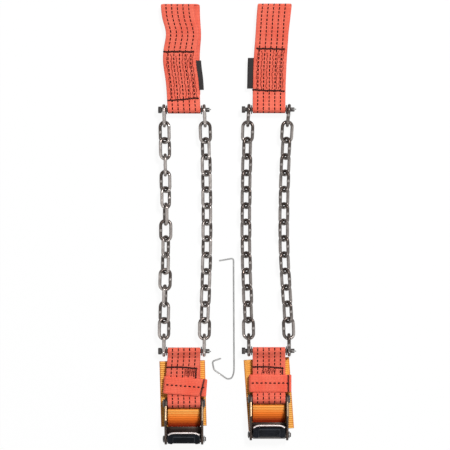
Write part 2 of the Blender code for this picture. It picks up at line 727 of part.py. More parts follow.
def threading_hook():
    """A long bent wire, a finger grip at one end and a hook at the other, to draw the strap through."""
    made = wire("threading_hook", [(x, y, 0) for x, y in HOOK_BENDS], HOOK_WIRE)
    made.location = HOOK_PLACE + Vector((0, 0, HOOK_WIRE / 2 + FLOOR_CLEARANCE))
    return keep(made, None, metal(made.name, STEEL))


for leftover in list(bpy.data.objects):
    bpy.data.objects.remove(leftover)
PIECES = new_collection("Tyre chain bracelets")
CUTTERS = new_collection("Cutters")

first = Lay(
    "", Vector((0, 0, 0)), lean=FIRST_LEAN, tail_lean=FIRST_TAIL_LEAN, bow=FIRST_BOW, sway=FIRST_SWAY,
    head_play=FIRST_HEAD_PLAY, pad_turn=FIRST_PAD_TURN)
anchor_strap(first)
pin_set(first, "upper", first.upper_pin)
loose_chains(first)
pin_set(first, "lower", first.lower_pin)
lower_strap(first)
keeper(first)
pad(first)
buckle_frame(first, loose=True)
strap_bar(first)
cam_pin(first)
cam_lever(first, loose=True)
cam_spring(first)

threading_hook()

second = Lay(
    "second_", SECOND_PLACE, lean=SECOND_LEAN, tail_lean=SECOND_TAIL_LEAN, sway=SECOND_SWAY,
    left_rolls=SECOND_LEFT_ROLLS, pad_turn=SECOND_PAD_TURN, extra_span=SECOND_EXTRA_SPAN,
    pad_shift=SECOND_PAD_SHIFT, pad_tuck=SECOND_PAD_TUCK, keeper_lift=SECOND_KEEPER_LIFT,
    keeper_turn=SECOND_KEEPER_TURN, lever_open=SECOND_LEVER_OPEN)
anchor_strap(second)
pin(second, "second_upper_pin", second.upper_pin)
welded_chain(second, 0, "left")
welded_chain(second, 1, "right")
pin(second, "second_lower_pin", second.lower_pin)
lower_strap(second)
keeper(second)
pad(second)
buckle_frame(second, loose=False)
cam_lever(second, loose=False)
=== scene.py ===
# %% [markdown]
# # Tyre chain bracelets, a dressed scene
# Two strap-on anti-skid bracelets and a wire threading hook lie on a white table, seen from straight above.
# Each bracelet is red webbing, two short chains between clevis pins, and a cam buckle on a yellow pad.
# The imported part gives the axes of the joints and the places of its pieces. This script dresses its solids:
# woven straps in place of plain ribbons, round welded links in place of six-sided ones, and a finish for
# every surface.

# %% Load the frame
import json
import math

import bmesh
import bpy
from mathutils import Matrix, Vector


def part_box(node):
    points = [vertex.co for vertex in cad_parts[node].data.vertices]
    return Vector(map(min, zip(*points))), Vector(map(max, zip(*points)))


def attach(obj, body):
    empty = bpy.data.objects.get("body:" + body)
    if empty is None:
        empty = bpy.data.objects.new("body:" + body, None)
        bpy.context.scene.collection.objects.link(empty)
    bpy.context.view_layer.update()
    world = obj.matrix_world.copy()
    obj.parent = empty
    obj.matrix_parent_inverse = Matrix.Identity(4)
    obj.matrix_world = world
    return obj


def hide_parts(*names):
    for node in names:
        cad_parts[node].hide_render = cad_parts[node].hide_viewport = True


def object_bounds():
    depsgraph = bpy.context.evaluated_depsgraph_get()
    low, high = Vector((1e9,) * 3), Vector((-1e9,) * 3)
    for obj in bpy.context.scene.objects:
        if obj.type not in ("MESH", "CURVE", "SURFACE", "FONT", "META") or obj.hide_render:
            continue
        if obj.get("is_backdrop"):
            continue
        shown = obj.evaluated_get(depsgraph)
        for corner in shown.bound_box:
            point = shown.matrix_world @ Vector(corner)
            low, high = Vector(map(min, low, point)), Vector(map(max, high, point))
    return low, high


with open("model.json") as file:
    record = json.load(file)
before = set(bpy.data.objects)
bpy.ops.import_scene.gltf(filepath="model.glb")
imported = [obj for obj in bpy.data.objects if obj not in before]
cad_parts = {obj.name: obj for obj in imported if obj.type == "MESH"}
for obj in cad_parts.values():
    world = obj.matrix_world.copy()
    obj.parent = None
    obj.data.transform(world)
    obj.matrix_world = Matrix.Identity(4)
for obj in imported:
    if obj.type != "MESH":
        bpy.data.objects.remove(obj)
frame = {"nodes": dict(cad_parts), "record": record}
cad_box = [list(corner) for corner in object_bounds()]
hinges = {joint["name"]: joint for joint in frame["record"]["behaviour"]["joints"]}

# %% [markdown]
# ## What the two bracelets share, and how each one lies
# A bracelet is described by the axes of its joints: the two pins, the strap bar and the cam's pivot. The
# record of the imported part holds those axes, so no place is written twice. The rest says how each bracelet
# was laid down: how far its long strap leans, how its chains sway, how its pad is turned.

# %% Describe the two bracelets
STRAP_WIDTH = 0.038
STRAP_THICK = 0.0015
LAYER_GAP = 0.0003
SEAT_GAP = 0.0003
PIN_DIAMETER = 0.005
BAR_DIAMETER = 0.008
PAD_THICK = 0.0022
LAYER = STRAP_THICK + LAYER_GAP


def axis_of(joint):
    return Vector(hinges[joint]["pos_m"])


class Bracelet:
    """One bracelet: the axes of its joints, the bodies its pieces ride on, and how it was laid down."""

    bow = 0
    bulges = ()
    lower_sway = 0
    keeper_turn = 0
    slit_lean = 0
    pad_tuck = 0
    lever_open = 0
    head_play = 0.0006
    left_rolls = None
    weld_up = False

    def __init__(self, prefix, axes, bodies, **lie):
        self.prefix = prefix
        self.lower, self.upper, self.bar, self.pivot = [axis_of(joint) for joint in axes]
        self.strap_body, self.anchor_body, self.pin_body, self.keeper_body = bodies
        for key, value in lie.items():
            setattr(self, key, value)
        self.x = self.bar.x
        low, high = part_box(prefix + "pad")
        self.pad_middle = Vector(((low[0] + high[0]) / 2, (low[1] + high[1]) / 2, 0))

    def name(self, piece):
        return self.prefix + piece


# A seam runs between two places, (across, along) from the upper pin. A tag has a start, a stop and a reach.
FIRST_SEAMS = {
    "near": ((-0.0183, 0.0226), (0.0165, 0.0214)),
    "far": ((-0.0155, 0.0708), (0.0152, 0.0700)),
    "tag": (0.0243, 0.0601, 0.0068)}
SECOND_SEAMS = {
    "near": ((-0.0172, 0.0104), (0.0166, 0.0134)),
    "far": ((-0.0178, 0.0674), (0.0156, 0.0674)),
    "tag": (0.0232, 0.0575, 0.0050)}
# A bulge of the strap's edges has its middle along the strap, its spread and its size.
SECOND_BULGES = ((0.0895, 0.0135, 0.0034), (0.0560, 0.0160, -0.0016))
# The rolls in degrees of one slack chain, link by link.
SECOND_LEFT_ROLLS = (90, -27, 35, 100, -10, 55, -60, 10, 75, -45, 32, -92, -32, 30, 90)
first = Bracelet(
    "", ("chain_lift", "anchor_strap_swing", "buckle_swing", "cam_lever_lift"),
    ("lower", "anchor", "anchor", "keeper"), seams=FIRST_SEAMS, zigzag=(-0.0085, 0.0080), tag_side=-1,
    lean=0.050, tail_lean=0.062, bow=1, sway=(-0.0034, -0.0062), head_play=0.0022, weld_up=True,
    pad_turn=math.radians(4.0))
second = Bracelet(
    "second_", ("second_chain_swing", "second_strap_swing", "second_buckle_swing", "second_lever_lift"),
    ("second_lower", "second_anchor", "second_chains", "second_lower"), seams=SECOND_SEAMS,
    zigzag=(0.0020, 0.0135), tag_side=1, lean=-0.064, tail_lean=-0.007, bulges=SECOND_BULGES,
    lower_sway=-0.0018, sway=(0.0022, 0.0032), left_rolls=SECOND_LEFT_ROLLS, pad_turn=math.radians(1.5),
    pad_tuck=0.0068, keeper_turn=math.radians(-4.4), slit_lean=0.17, lever_open=math.radians(13))
bracelets = (first, second)
for each in bracelets:
    print(each.prefix or "first_", "pins", round((each.upper - each.lower).length * 1000, 1), "mm apart")

# %% [markdown]
# ## Camera
# The photograph is a flat lay: the camera looks straight down. It could stand close with a wide lens, but
# then the sides of the buckles would show, so it stands far away with a long one. One pixel of the
# photograph is 1.165 mm on the table, and the pixel over the frame's origin places the view.

# %% Camera
PHOTO_PIXELS = 450
PIXEL = 0.001165
ORIGIN_PIXEL = (268.8, 394.0)
CAMERA_HEIGHT = 2.2
SENSOR_WIDTH = 36
FAR_CLIP = 20
half_view = PHOTO_PIXELS / 2
view_centre = Vector(((half_view - ORIGIN_PIXEL[0]) * PIXEL, (ORIGIN_PIXEL[1] - half_view) * PIXEL, 0))
camera_data = bpy.data.cameras.new("photo_camera")
camera_data.sensor_width = SENSOR_WIDTH
camera_data.lens = SENSOR_WIDTH * CAMERA_HEIGHT / (PHOTO_PIXELS * PIXEL)
camera_data.clip_end = FAR_CLIP
camera = bpy.data.objects.new("photo_camera", camera_data)
camera.location = view_centre + Vector((0, 0, CAMERA_HEIGHT))
bpy.context.scene.collection.objects.link(camera)
bpy.context.scene.camera = camera
bpy.context.scene.view_settings.view_transform = "Standard"
middle_mm = [round(value * 1000, 1) for value in view_centre]
print("camera over", middle_mm, "mm, lens", round(camera_data.lens, 1))

# %% [markdown]
# ## Building node trees
# A finish is a tree of nodes. In the editor each node is placed by hand and wired to the next. In a script
# that takes many lines, so a few helpers add a node and feed its sockets in one line, with a plain value
# or with a link.


# %% Node helpers
def feed(tree, socket, value):
    """Links an input socket to an output, or sets its plain value. A colour is three or four numbers."""
    if isinstance(value, bpy.types.NodeSocket):
        tree.links.new(value, socket)
    elif socket.type == "RGBA" and len(value) == 3:
        socket.default_value = (*value, 1)
    else:
        socket.default_value = value


def add_node(tree, kind, values=None, **settings):
    """A node with its settings, and its input sockets fed from a dictionary."""
    node = tree.nodes.new(kind)
    for key, value in settings.items():
        setattr(node, key, value)
    for key, value in (values or {}).items():
        feed(tree, node.inputs[key], value)
    return node


def maths(tree, operation, *values, clamped=False):
    node = add_node(tree, "ShaderNodeMath", dict(enumerate(values)), operation=operation, use_clamp=clamped)
    return node.outputs[0]


def blend_colours(tree, share, low, high):
    """A mix of two colours by a share from 0 to 1."""
    return add_node(tree, "ShaderNodeMix", {0: share, 6: low, 7: high}, data_type="RGBA").outputs[2]


def new_material(name, roughness, metallic=0.0, **sockets):
    """A material with its plain values set on the shader itself."""
    made = bpy.data.materials.new(name)
    made.use_nodes = True
    tree = made.node_tree
    shader = tree.nodes["Principled BSDF"]
    for key, value in {"Roughness": roughness, "Metallic": metallic, **sockets}.items():
        feed(tree, shader.inputs[key.replace("_", " ")], value)
    return made, tree, shader


print("node helpers ready")

# %% [markdown]
# ## Table and light
# The table is white to the camera and to reflections, and still takes the soft shadow of the bracelets.
# More light would make it white too, but it would bleach the webbing. The key lamp stands at the upper
# right, because slopes that face the top of the picture are bright and those that face its foot are dark.
# A weak fill lamp opens the shadows. A third lamp is hidden from matt surfaces, so it only puts a gleam on
# what is glossy.

# %% Table and light
WHITE = (1, 1, 1)
TABLE_GREY = (0.93, 0.93, 0.93)
TABLE_WHITE = 0.94
TABLE_SIZE = 8
TABLE_DROP = 0.0004


def white_to_camera(tree, shader, white, share=1.0):
    """A share of white that the camera and reflections see, over the shader that everything else sees."""
    path = tree.nodes.new("ShaderNodeLightPath")
    seen = maths(tree, "MAXIMUM", path.outputs["Is Camera Ray"], path.outputs["Is Glossy Ray"])
    seen = maths(tree, "MAXIMUM", seen, path.outputs["Is Transmission Ray"])
    seen = maths(tree, "MULTIPLY", seen, share)
    return add_node(tree, "ShaderNodeMixShader", {0: seen, 1: shader, 2: white}).outputs[0]


def studio_world(strength):
    world = bpy.data.worlds.new("studio")
    bpy.context.scene.world = world
    world.use_nodes = True
    tree = world.node_tree
    tree.nodes.clear()
    soft = add_node(tree, "ShaderNodeBackground", {"Color": WHITE, "Strength": strength})
    white = add_node(tree, "ShaderNodeBackground", {"Color": WHITE, "Strength": 1})
    mixed = white_to_camera(tree, soft.outputs[0], white.outputs[0])
    add_node(tree, "ShaderNodeOutputWorld", {"Surface": mixed})


def table_material():
    """A white table that keeps a light shadow of what lies on it."""
    made, tree, shader = new_material("white_table", 0.9, Base_Color=TABLE_GREY, Specular_IOR_Level=0.1)
    white = add_node(tree, "ShaderNodeEmission", {"Color": WHITE, "Strength": 1})
    mixed = white_to_camera(tree, shader.outputs[0], white.outputs[0], share=TABLE_WHITE)
    tree.links.new(mixed, tree.nodes["Material Output"].inputs["Surface"])
    return made


def table_top():
    bpy.ops.mesh.primitive_plane_add(size=TABLE_SIZE, location=(view_centre.x, view_centre.y, -TABLE_DROP))
    table = bpy.context.object
    table.name = "table_top"
    table.data.materials.append(table_material())
    table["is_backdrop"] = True


def soft_lamp(name, place, size, power, hidden_from=None):
    """A square lamp aimed at the middle of the view. It can be hidden from matt surfaces, "diffuse"."""
    data = bpy.data.lights.new(name, "AREA")
    data.size = size
    data.energy = power
    lamp = bpy.data.objects.new(name, data)
    lamp.location = view_centre + Vector(place)
    lamp.rotation_euler = (-Vector(place)).to_track_quat("-Z", "Y").to_euler()
    bpy.context.scene.collection.objects.link(lamp)
    if hidden_from:
        setattr(lamp, "visible_" + hidden_from, False)


studio_world(strength=0.20)
table_top()
soft_lamp("key_lamp", place=(1.30, 1.85, 3.50), size=0.8, power=181)
soft_lamp("fill_lamp", place=(-0.6, -0.5, 1.6), size=0.8, power=1.2)
soft_lamp("gleam_lamp", place=(0.25, -1.5, 1.6), size=0.3, power=9, hidden_from="diffuse")
print("table and three lamps placed")

# %% [markdown]
# ## Effects that several finishes share
# A shader node group is a small machine with named inputs and outputs, built once and placed in many
# materials. Three are needed here. The first draws the ribs of woven webbing from the strap's own map,
# which holds real metres across and along the strap. The second draws slow and fine patches, so that no
# surface is one flat colour. The third draws fine scratches for metal.


# %% Group: woven ribs
def new_group(name, inputs, outputs):
    """An empty shader group with float inputs and their defaults, and float outputs."""
    tree = bpy.data.node_groups.new(name, "ShaderNodeTree")
    for label, value in inputs.items():
        socket = tree.interface.new_socket(label, in_out="INPUT", socket_type="NodeSocketFloat")
        socket.default_value = value
    for label in outputs:
        tree.interface.new_socket(label, in_out="OUTPUT", socket_type="NodeSocketFloat")
    return tree, tree.nodes.new("NodeGroupInput"), tree.nodes.new("NodeGroupOutput")


def strap_map(tree):
    """Metres across and metres along, from the strap's own map."""
    place = add_node(tree, "ShaderNodeUVMap", uv_map="strap")
    split = add_node(tree, "ShaderNodeSeparateXYZ", {0: place.outputs[0]})
    return split.outputs["X"], split.outputs["Y"]


def yarn_wave(tree, value):
    """Round crests with narrow valleys, one for every whole step of a value."""
    wave = maths(tree, "ABSOLUTE", maths(tree, "SINE", maths(tree, "MULTIPLY", value, math.pi)))
    return maths(tree, "POWER", wave, 0.5)


def woven_ribs_group():
    """Yarns that cross over and under: the height of the cloth, and its valleys, where finishes put painted
    shade.
    """
    tree, enter, leave = new_group("woven_ribs", {"Warp": 0.0011, "Weft": 0.0016}, ("Height", "Valley"))
    across, along = strap_map(tree)
    warp = maths(tree, "DIVIDE", across, enter.outputs["Warp"])
    step = maths(tree, "MULTIPLY", maths(tree, "FLOOR", warp), 0.5)
    weft = maths(tree, "ADD", maths(tree, "DIVIDE", along, enter.outputs["Weft"]), step)
    height = maths(tree, "MULTIPLY", yarn_wave(tree, warp), yarn_wave(tree, weft))
    tree.links.new(height, leave.inputs["Height"])
    valley = maths(tree, "SUBTRACT", 1.0, height, clamped=True)
    tree.links.new(valley, leave.inputs["Valley"])
    return tree


woven_ribs = woven_ribs_group()
print("group made:", woven_ribs.name)

# %% Group: patches
FINE_TO_SLOW = 14.0
PATCH_RANGE = (0.3, 0.7)


def spread_noise(tree, noise, low, high):
    """A noise stretched so that low is 0 and high is 1."""
    return add_node(tree, "ShaderNodeMapRange", {0: noise.outputs[0], 1: low, 2: high}).outputs[0]


def patches_group():
    """Slow patches and fine specks over the object's own coordinates, each from 0 to 1."""
    tree, enter, leave = new_group("patches", {"Scale": 60.0}, ("Slow", "Fine"))
    place = add_node(tree, "ShaderNodeTexCoord")
    slow = add_node(tree, "ShaderNodeTexNoise", {
        "Vector": place.outputs["Object"], "Scale": enter.outputs["Scale"], "Detail": 3.0})
    fine_scale = maths(tree, "MULTIPLY", enter.outputs["Scale"], FINE_TO_SLOW)
    fine = add_node(tree, "ShaderNodeTexNoise", {
        "Vector": place.outputs["Object"], "Scale": fine_scale, "Detail": 2.0})
    for noise, label in ((slow, "Slow"), (fine, "Fine")):
        tree.links.new(spread_noise(tree, noise, *PATCH_RANGE), leave.inputs[label])
    return tree


patches = patches_group()
print("group made:", patches.name)

# %% Group: scratches
LINE_STRETCH = (1.0, 0.06, 1.0)
LINE_RANGE = (0.35, 0.65)


def scratches_group():
    """Fine drawn lines along one direction, as rolling and handling leave on steel."""
    tree, enter, leave = new_group("scratches", {"Scale": 900.0}, ("Lines",))
    place = add_node(tree, "ShaderNodeTexCoord")
    stretch = add_node(tree, "ShaderNodeMapping", {
        "Vector": place.outputs["Object"], "Scale": LINE_STRETCH})
    lines = add_node(tree, "ShaderNodeTexNoise", {
        "Vector": stretch.outputs[0], "Scale": enter.outputs["Scale"], "Detail": 2.0})
    tree.links.new(spread_noise(tree, lines, *LINE_RANGE), leave.inputs["Lines"])
    return tree


scratches = scratches_group()
print("group made:", scratches.name)

# %% [markdown]
# ## Colours that follow a shape
# A rib's valley, the top of a cheek or one limb of a link lies at a place of its own on a piece. A pattern
# over the whole surface can't know that place. So the meshes that need it carry marks, numbers from 0 to 1 at
# their points or faces, and the finishes read them. Most of these marks carry painted shade or a painted
# highlight.


# %% Material helpers
def place_group(tree, group, **values):
    node = tree.nodes.new("ShaderNodeGroup")
    node.node_tree = group
    for key, value in values.items():
        node.inputs[key].default_value = value
    return node


def mark_of(tree, label):
    """A mark that the mesh itself carries, from 0 to 1."""
    return add_node(tree, "ShaderNodeAttribute", attribute_name=label).outputs["Fac"]


def stained(tree, colour, mask, share, tone):
    """A colour that turns towards a tone by a share of a mask."""
    return blend_colours(tree, maths(tree, "MULTIPLY", mask, share), colour, tone)


def add_bump(tree, shader, height, strength, distance):
    bump = add_node(tree, "ShaderNodeBump", {"Strength": strength, "Distance": distance, "Height": height})
    tree.links.new(bump.outputs["Normal"], shader.inputs["Normal"])


def range_of(tree, value, low, high):
    """A 0 to 1 value spread from low to high."""
    return add_node(tree, "ShaderNodeMapRange", {0: value, 3: low, 4: high}).outputs[0]


def smooth_range(tree, value, start, stop):
    """0 at start and 1 at stop, with soft ends."""
    values = {0: value, 1: start, 2: stop}
    return add_node(tree, "ShaderNodeMapRange", values, interpolation_type="SMOOTHSTEP").outputs[0]


print("material helpers ready")

# %% [markdown]
# ## Red webbing
# The straps are red webbing with five rows of black tracer dashes. The dashes are woven in, so they belong
# to the colour and not to the shape. They follow the strap round its folds, so they are drawn on the
# strap's own map, and they shine less than the red. The keepers' webbing is a brighter red without them.

# %% Red webbing with black tracers
TRACER_SPACING = 0.0066
TRACER_HALF = 0.00068
TRACER_COUNT = 5
DASH_PITCH = 0.0045
DASH_SHARE = 0.70
ROW_SHIFT = 0.05
CLOTH_GLOSS = 0.5
TRACER_GLOSS = 0.05
STRAP_REDS = ((0.84, 0.127, 0.069), (0.93, 0.195, 0.119))
KEEPER_REDS = ((0.96, 0.118, 0.058), (1.0, 0.175, 0.100))
# Painted shade: the tone of the valleys between the ribs.
RED_VALLEY_SHADE = (0.50, 0.045, 0.024)
# Painted shade for the dark slit at a keeper's folded end.
RED_SHADED = (0.060, 0.010, 0.008)
BLACK_YARN = (0.030, 0.006, 0.005)


def tracer_mask(tree):
    """1 on the black dashes: rows at an even spacing across, each broken along the strap."""
    across, along = strap_map(tree)
    row = maths(tree, "DIVIDE", across, TRACER_SPACING)
    from_row = maths(tree, "ABSOLUTE", maths(tree, "SUBTRACT", row, maths(tree, "ROUND", row)))
    on_row = maths(tree, "LESS_THAN", from_row, TRACER_HALF / TRACER_SPACING)
    inside = maths(tree, "LESS_THAN", maths(tree, "ABSOLUTE", row), TRACER_COUNT / 2)
    shift = maths(tree, "MULTIPLY", maths(tree, "ROUND", row), ROW_SHIFT)
    beat = maths(tree, "FRACT", maths(tree, "ADD", maths(tree, "DIVIDE", along, DASH_PITCH), shift))
    on_dash = maths(tree, "LESS_THAN", beat, DASH_SHARE)
    return maths(tree, "MULTIPLY", maths(tree, "MULTIPLY", on_row, inside), on_dash)


def red_webbing(name, reds, rib_share, tracers):
    """Red cloth with painted shade in its rib valleys and a keeper's slit, with or without the black dashes.
    """
    made, tree, shader = new_material(name, 0.82, Sheen_Weight=0.05, Sheen_Roughness=0.5)
    weave = place_group(tree, woven_ribs, Warp=0.0021, Weft=0.0017)
    mottle = place_group(tree, patches, Scale=70.0)
    colour = blend_colours(tree, mottle.outputs["Slow"], *reds)
    # Painted shade in the valleys between the ribs, from the weave and from the mesh's rib marks.
    colour = stained(tree, colour, weave.outputs["Valley"], 0.45, RED_VALLEY_SHADE)
    colour = stained(tree, colour, mark_of(tree, "valley"), rib_share, RED_VALLEY_SHADE)
    colour = blend_colours(tree, mark_of(tree, "shade"), colour, RED_SHADED)
    if tracers:
        mask = tracer_mask(tree)
        colour = blend_colours(tree, mask, colour, BLACK_YARN)
        tree.links.new(range_of(tree, mask, CLOTH_GLOSS, TRACER_GLOSS), shader.inputs["Specular IOR Level"])
    tree.links.new(colour, shader.inputs["Base Color"])
    add_bump(tree, shader, weave.outputs["Height"], 0.4, 0.0002)
    return made


strap_red = red_webbing("red_webbing", STRAP_REDS, rib_share=0.95, tracers=True)
keeper_red = red_webbing("red_keeper_webbing", KEEPER_REDS, rib_share=0.70, tracers=False)
print("finishes:", strap_red.name, keeper_red.name)

# %% [markdown]
# ## Yellow webbing
# The pad is yellow webbing; painted shade turns it orange in the deep valleys of its ribs and along its
# selvedges. Where it folds up under the lever it goes from orange to brown. Shadow alone leaves that fold too
# pale in a soft light, so the fold carries a shade that the finish turns into colour: painted shade.

# %% Yellow pad webbing
YELLOW = (1.0, 0.480, 0.090)
YELLOW_LIGHT = (1.0, 0.580, 0.150)
# Painted shade: the orange of the rib valleys and the selvedges.
YELLOW_SHADE = (0.56, 0.125, 0.012)
# Painted shade down the pad's fold: a half shade of orange, then a deep shade of brown.
FOLD_HALF_SHADE = (0.95, 0.205, 0.022)
FOLD_DEEP_SHADE = (0.34, 0.022, 0.004)
FOLD_SHADE_TONES = ((0.0, 0.6, FOLD_HALF_SHADE), (0.48, 1.06, FOLD_DEEP_SHADE))
VALLEY_RANGE = (0.05, 0.62)
SELVEDGE = 0.0254


def yellow_webbing():
    """Yellow cloth; painted shade turns its valleys and selvedges orange, and a fold orange to brown."""
    made, tree, shader = new_material("yellow_webbing", 0.85, Specular_IOR_Level=0.12)
    weave = place_group(tree, woven_ribs, Warp=0.0009, Weft=0.0023)
    mottle = place_group(tree, patches, Scale=50.0)
    colour = blend_colours(tree, mottle.outputs["Slow"], YELLOW, YELLOW_LIGHT)
    colour = stained(tree, colour, weave.outputs["Valley"], 0.25, YELLOW_SHADE)
    valley = smooth_range(tree, mark_of(tree, "valley"), *VALLEY_RANGE)
    colour = stained(tree, colour, valley, 0.8, YELLOW_SHADE)
    shade = mark_of(tree, "shade")
    for start, stop, tone in FOLD_SHADE_TONES:
        colour = blend_colours(tree, smooth_range(tree, shade, start, stop), colour, tone)
    across = maths(tree, "ABSOLUTE", strap_map(tree)[0])
    # Painted shade along both selvedges.
    colour = stained(tree, colour, maths(tree, "GREATER_THAN", across, SELVEDGE), 0.6, YELLOW_SHADE)
    tree.links.new(colour, shader.inputs["Base Color"])
    add_bump(tree, shader, weave.outputs["Height"], 0.4, 0.0003)
    return made


pad_yellow = yellow_webbing()
print("finish:", pad_yellow.name)

# %% [markdown]
# ## Thread and tag cloth
# The seams are sewn with black thread and locked with brown. A thread is too thin to show its plies from
# here, so fine specks of a lighter tone stand for them. The tags are finely woven black cloth, and take
# the same weave as the straps with much thinner yarns.

# %% Thread and tag cloth
BROWN_YARN = (0.17, 0.020, 0.012)
YARN_GAIN = 1.7
YARN_LIFT = 0.004
# Painted shade: the second, deeper black lies in the valleys between the tag's ribs.
TAG_BLACKS = ((0.040, 0.035, 0.035), (0.016, 0.014, 0.014))


def thread(name, colour):
    made, tree, shader = new_material(name, 0.7, Specular_IOR_Level=0.1)
    mottle = place_group(tree, patches, Scale=300.0)
    lighter = tuple(min(1.0, channel * YARN_GAIN + YARN_LIFT) for channel in colour)
    tree.links.new(blend_colours(tree, mottle.outputs["Fine"], colour, lighter), shader.inputs["Base Color"])
    add_bump(tree, shader, mottle.outputs["Fine"], 0.3, 0.0001)
    return made


def tag_cloth():
    made, tree, shader = new_material("tag_cloth", 0.75, Specular_IOR_Level=0.15)
    weave = place_group(tree, woven_ribs, Warp=0.0005, Weft=0.0006)
    colour = blend_colours(tree, weave.outputs["Valley"], *TAG_BLACKS)
    tree.links.new(colour, shader.inputs["Base Color"])
    add_bump(tree, shader, weave.outputs["Height"], 0.4, 0.0001)
    return made


black_thread = thread("black_thread", BLACK_YARN)
brown_thread = thread("brown_thread", BROWN_YARN)
tag_black = tag_cloth()
print("finishes:", black_thread.name, brown_thread.name, tag_black.name)

# %% [markdown]
# ## Metals
# The chain is brown-grey steel, with painted shade on its welded limb, on the inner sides of its limbs, at
# its upper end and inside its bends where links bear. The buckle's plating has dark tones as a painted
# reflection, and a painted highlight along the tops of its cheeks. The lever is black with a bright lip. All
# of them are one
# kind of finish with different tones: patches in the colour, scratches in the gloss, and a pair of tones for
# each mark.

# %% Metals
SMOOTHER = 0.08
ROUGHER = 0.10
SLOW_SHARE = 0.6
FINE_SHARE = 0.4
SCRATCH_SCALE = 12
METAL_GRAIN = 0.00015
CHAIN_TONES = ((0.20, 0.178, 0.166), (0.50, 0.456, 0.432))
# Tones of the painted shade on a link, and the paler tone of its weld.
CHAIN_MARKS = (
    ("burnt", (0.026, 0.020, 0.017), (0.115, 0.093, 0.082)),
    ("inner", (0.030, 0.024, 0.021), (0.11, 0.092, 0.082)),
    ("rub", (0.030, 0.020, 0.017), (0.095, 0.073, 0.063)),
    ("weld", (0.24, 0.22, 0.21), (0.44, 0.41, 0.39)))
# Painted reflection: the plating's tones are dark, standing for the dark it reflects.
PLATE_TONES = ((0.015, 0.008, 0.005), (0.052, 0.033, 0.024))
# Painted shade on the buckle's floor, and a painted highlight along the tops of its cheeks.
PLATE_MARKS = (
    ("grime", (0.010, 0.004, 0.003), (0.034, 0.014, 0.011)),
    ("worn", (0.36, 0.24, 0.135), (0.62, 0.44, 0.26)))
DARK_TONES = ((0.024, 0.021, 0.020), (0.080, 0.070, 0.066))
LEVER_TONES = ((0.008, 0.005, 0.004), (0.028, 0.018, 0.015))
WIRE_TONES = ((0.20, 0.20, 0.20), (0.38, 0.38, 0.37))
LIP_TONES = ((0.42, 0.372, 0.360), (0.64, 0.585, 0.572))


def steel(name, tones, roughness, metallic, scale, bump, marks=()):
    """Steel with slow patches between two tones, fine lines in its gloss, and other tones at its marks."""
    made, tree, shader = new_material(name, roughness, metallic)
    mottle = place_group(tree, patches, Scale=scale)
    lines = place_group(tree, scratches, Scale=scale * SCRATCH_SCALE)
    slow = maths(tree, "MULTIPLY", mottle.outputs["Slow"], SLOW_SHARE)
    share = maths(tree, "MULTIPLY_ADD", mottle.outputs["Fine"], FINE_SHARE, slow)
    colour = blend_colours(tree, share, *tones)
    for label, low, high in marks:
        tone = blend_colours(tree, mottle.outputs["Fine"], low, high)
        colour = blend_colours(tree, mark_of(tree, label), colour, tone)
    tree.links.new(colour, shader.inputs["Base Color"])
    gloss = range_of(tree, lines.outputs["Lines"], roughness - SMOOTHER, roughness + ROUGHER)
    tree.links.new(gloss, shader.inputs["Roughness"])
    height = maths(tree, "ADD", mottle.outputs["Fine"], maths(tree, "MULTIPLY", lines.outputs["Lines"], 0.5))
    add_bump(tree, shader, height, bump, METAL_GRAIN)
    return made


chain_steel = steel("chain_steel", CHAIN_TONES, roughness=0.22, metallic=0.75, scale=180.0, bump=0.10,
                    marks=CHAIN_MARKS)
zinc_plate = steel("zinc_plate", PLATE_TONES, roughness=0.36, metallic=0.6, scale=90.0, bump=0.06,
                   marks=PLATE_MARKS)
dark_steel = steel("dark_steel", DARK_TONES, roughness=0.36, metallic=0.6, scale=160.0, bump=0.10)
lever_steel = steel("lever_steel", LEVER_TONES, roughness=0.46, metallic=0.4, scale=120.0, bump=0.08)
wire_steel = steel("wire_steel", WIRE_TONES, roughness=0.62, metallic=0.9, scale=140.0, bump=0.02)
bright_lip = steel("bright_lip", LIP_TONES, roughness=0.50, metallic=0.70, scale=120.0, bump=0.06)
metals = (chain_steel, zinc_plate, dark_steel, lever_steel, wire_steel, bright_lip)
print("finishes:", [metal.name for metal in metals])

# %% [markdown]
# ## Moulded plastic
# The lever's cover is black plastic with a fine moulded grain. Its colour is almost nothing, so what is seen
# is its gloss: the grain drives the roughness, and the bevel round its panel is marked with a painted
# highlight.

# %% Cover plastic
COVER_TONES = ((0.003, 0.004, 0.006), (0.008, 0.010, 0.015))
# A paler painted highlight on the bevel round the cover's panel.
COVER_HIGHLIGHT = (0.045, 0.048, 0.056)
COVER_GLOSS = (0.34, 0.52)


def black_cover_finish():
    """Moulded black plastic with a fine grain, a blue cast in its colour and a painted highlight on its
    bevel.
    """
    made, tree, shader = new_material("black_cover", 0.42, Specular_IOR_Level=0.06)
    mottle = place_group(tree, patches, Scale=90.0)
    colour = blend_colours(tree, mottle.outputs["Slow"], *COVER_TONES)
    colour = blend_colours(tree, mark_of(tree, "worn"), colour, COVER_HIGHLIGHT)
    tree.links.new(colour, shader.inputs["Base Color"])
    tree.links.new(range_of(tree, mottle.outputs["Fine"], *COVER_GLOSS), shader.inputs["Roughness"])
    add_bump(tree, shader, mottle.outputs["Fine"], 0.25, 0.0001)
    return made


cover_black = black_cover_finish()
print("finish:", cover_black.name)

# %% [markdown]
# ## Webbing that follows a path
# A strap is a flat woven ribbon with rounded selvedges. It could be a plane with thickness, but then its
# edges are sharp and its map has to be drawn by hand. Instead a flat oval section is carried along a path.
# Each point also writes down how far across and how far along the strap it lies, in metres, and the weave
# and the tracer dashes read that map. Where the real cloth has raised cross ribs, the section swells and
# shrinks along the path, and the valleys are marked for the finish.


# %% Path helpers
def clamp(value):
    """The value itself from 0 to 1, and no further."""
    return min(1.0, max(0.0, value))


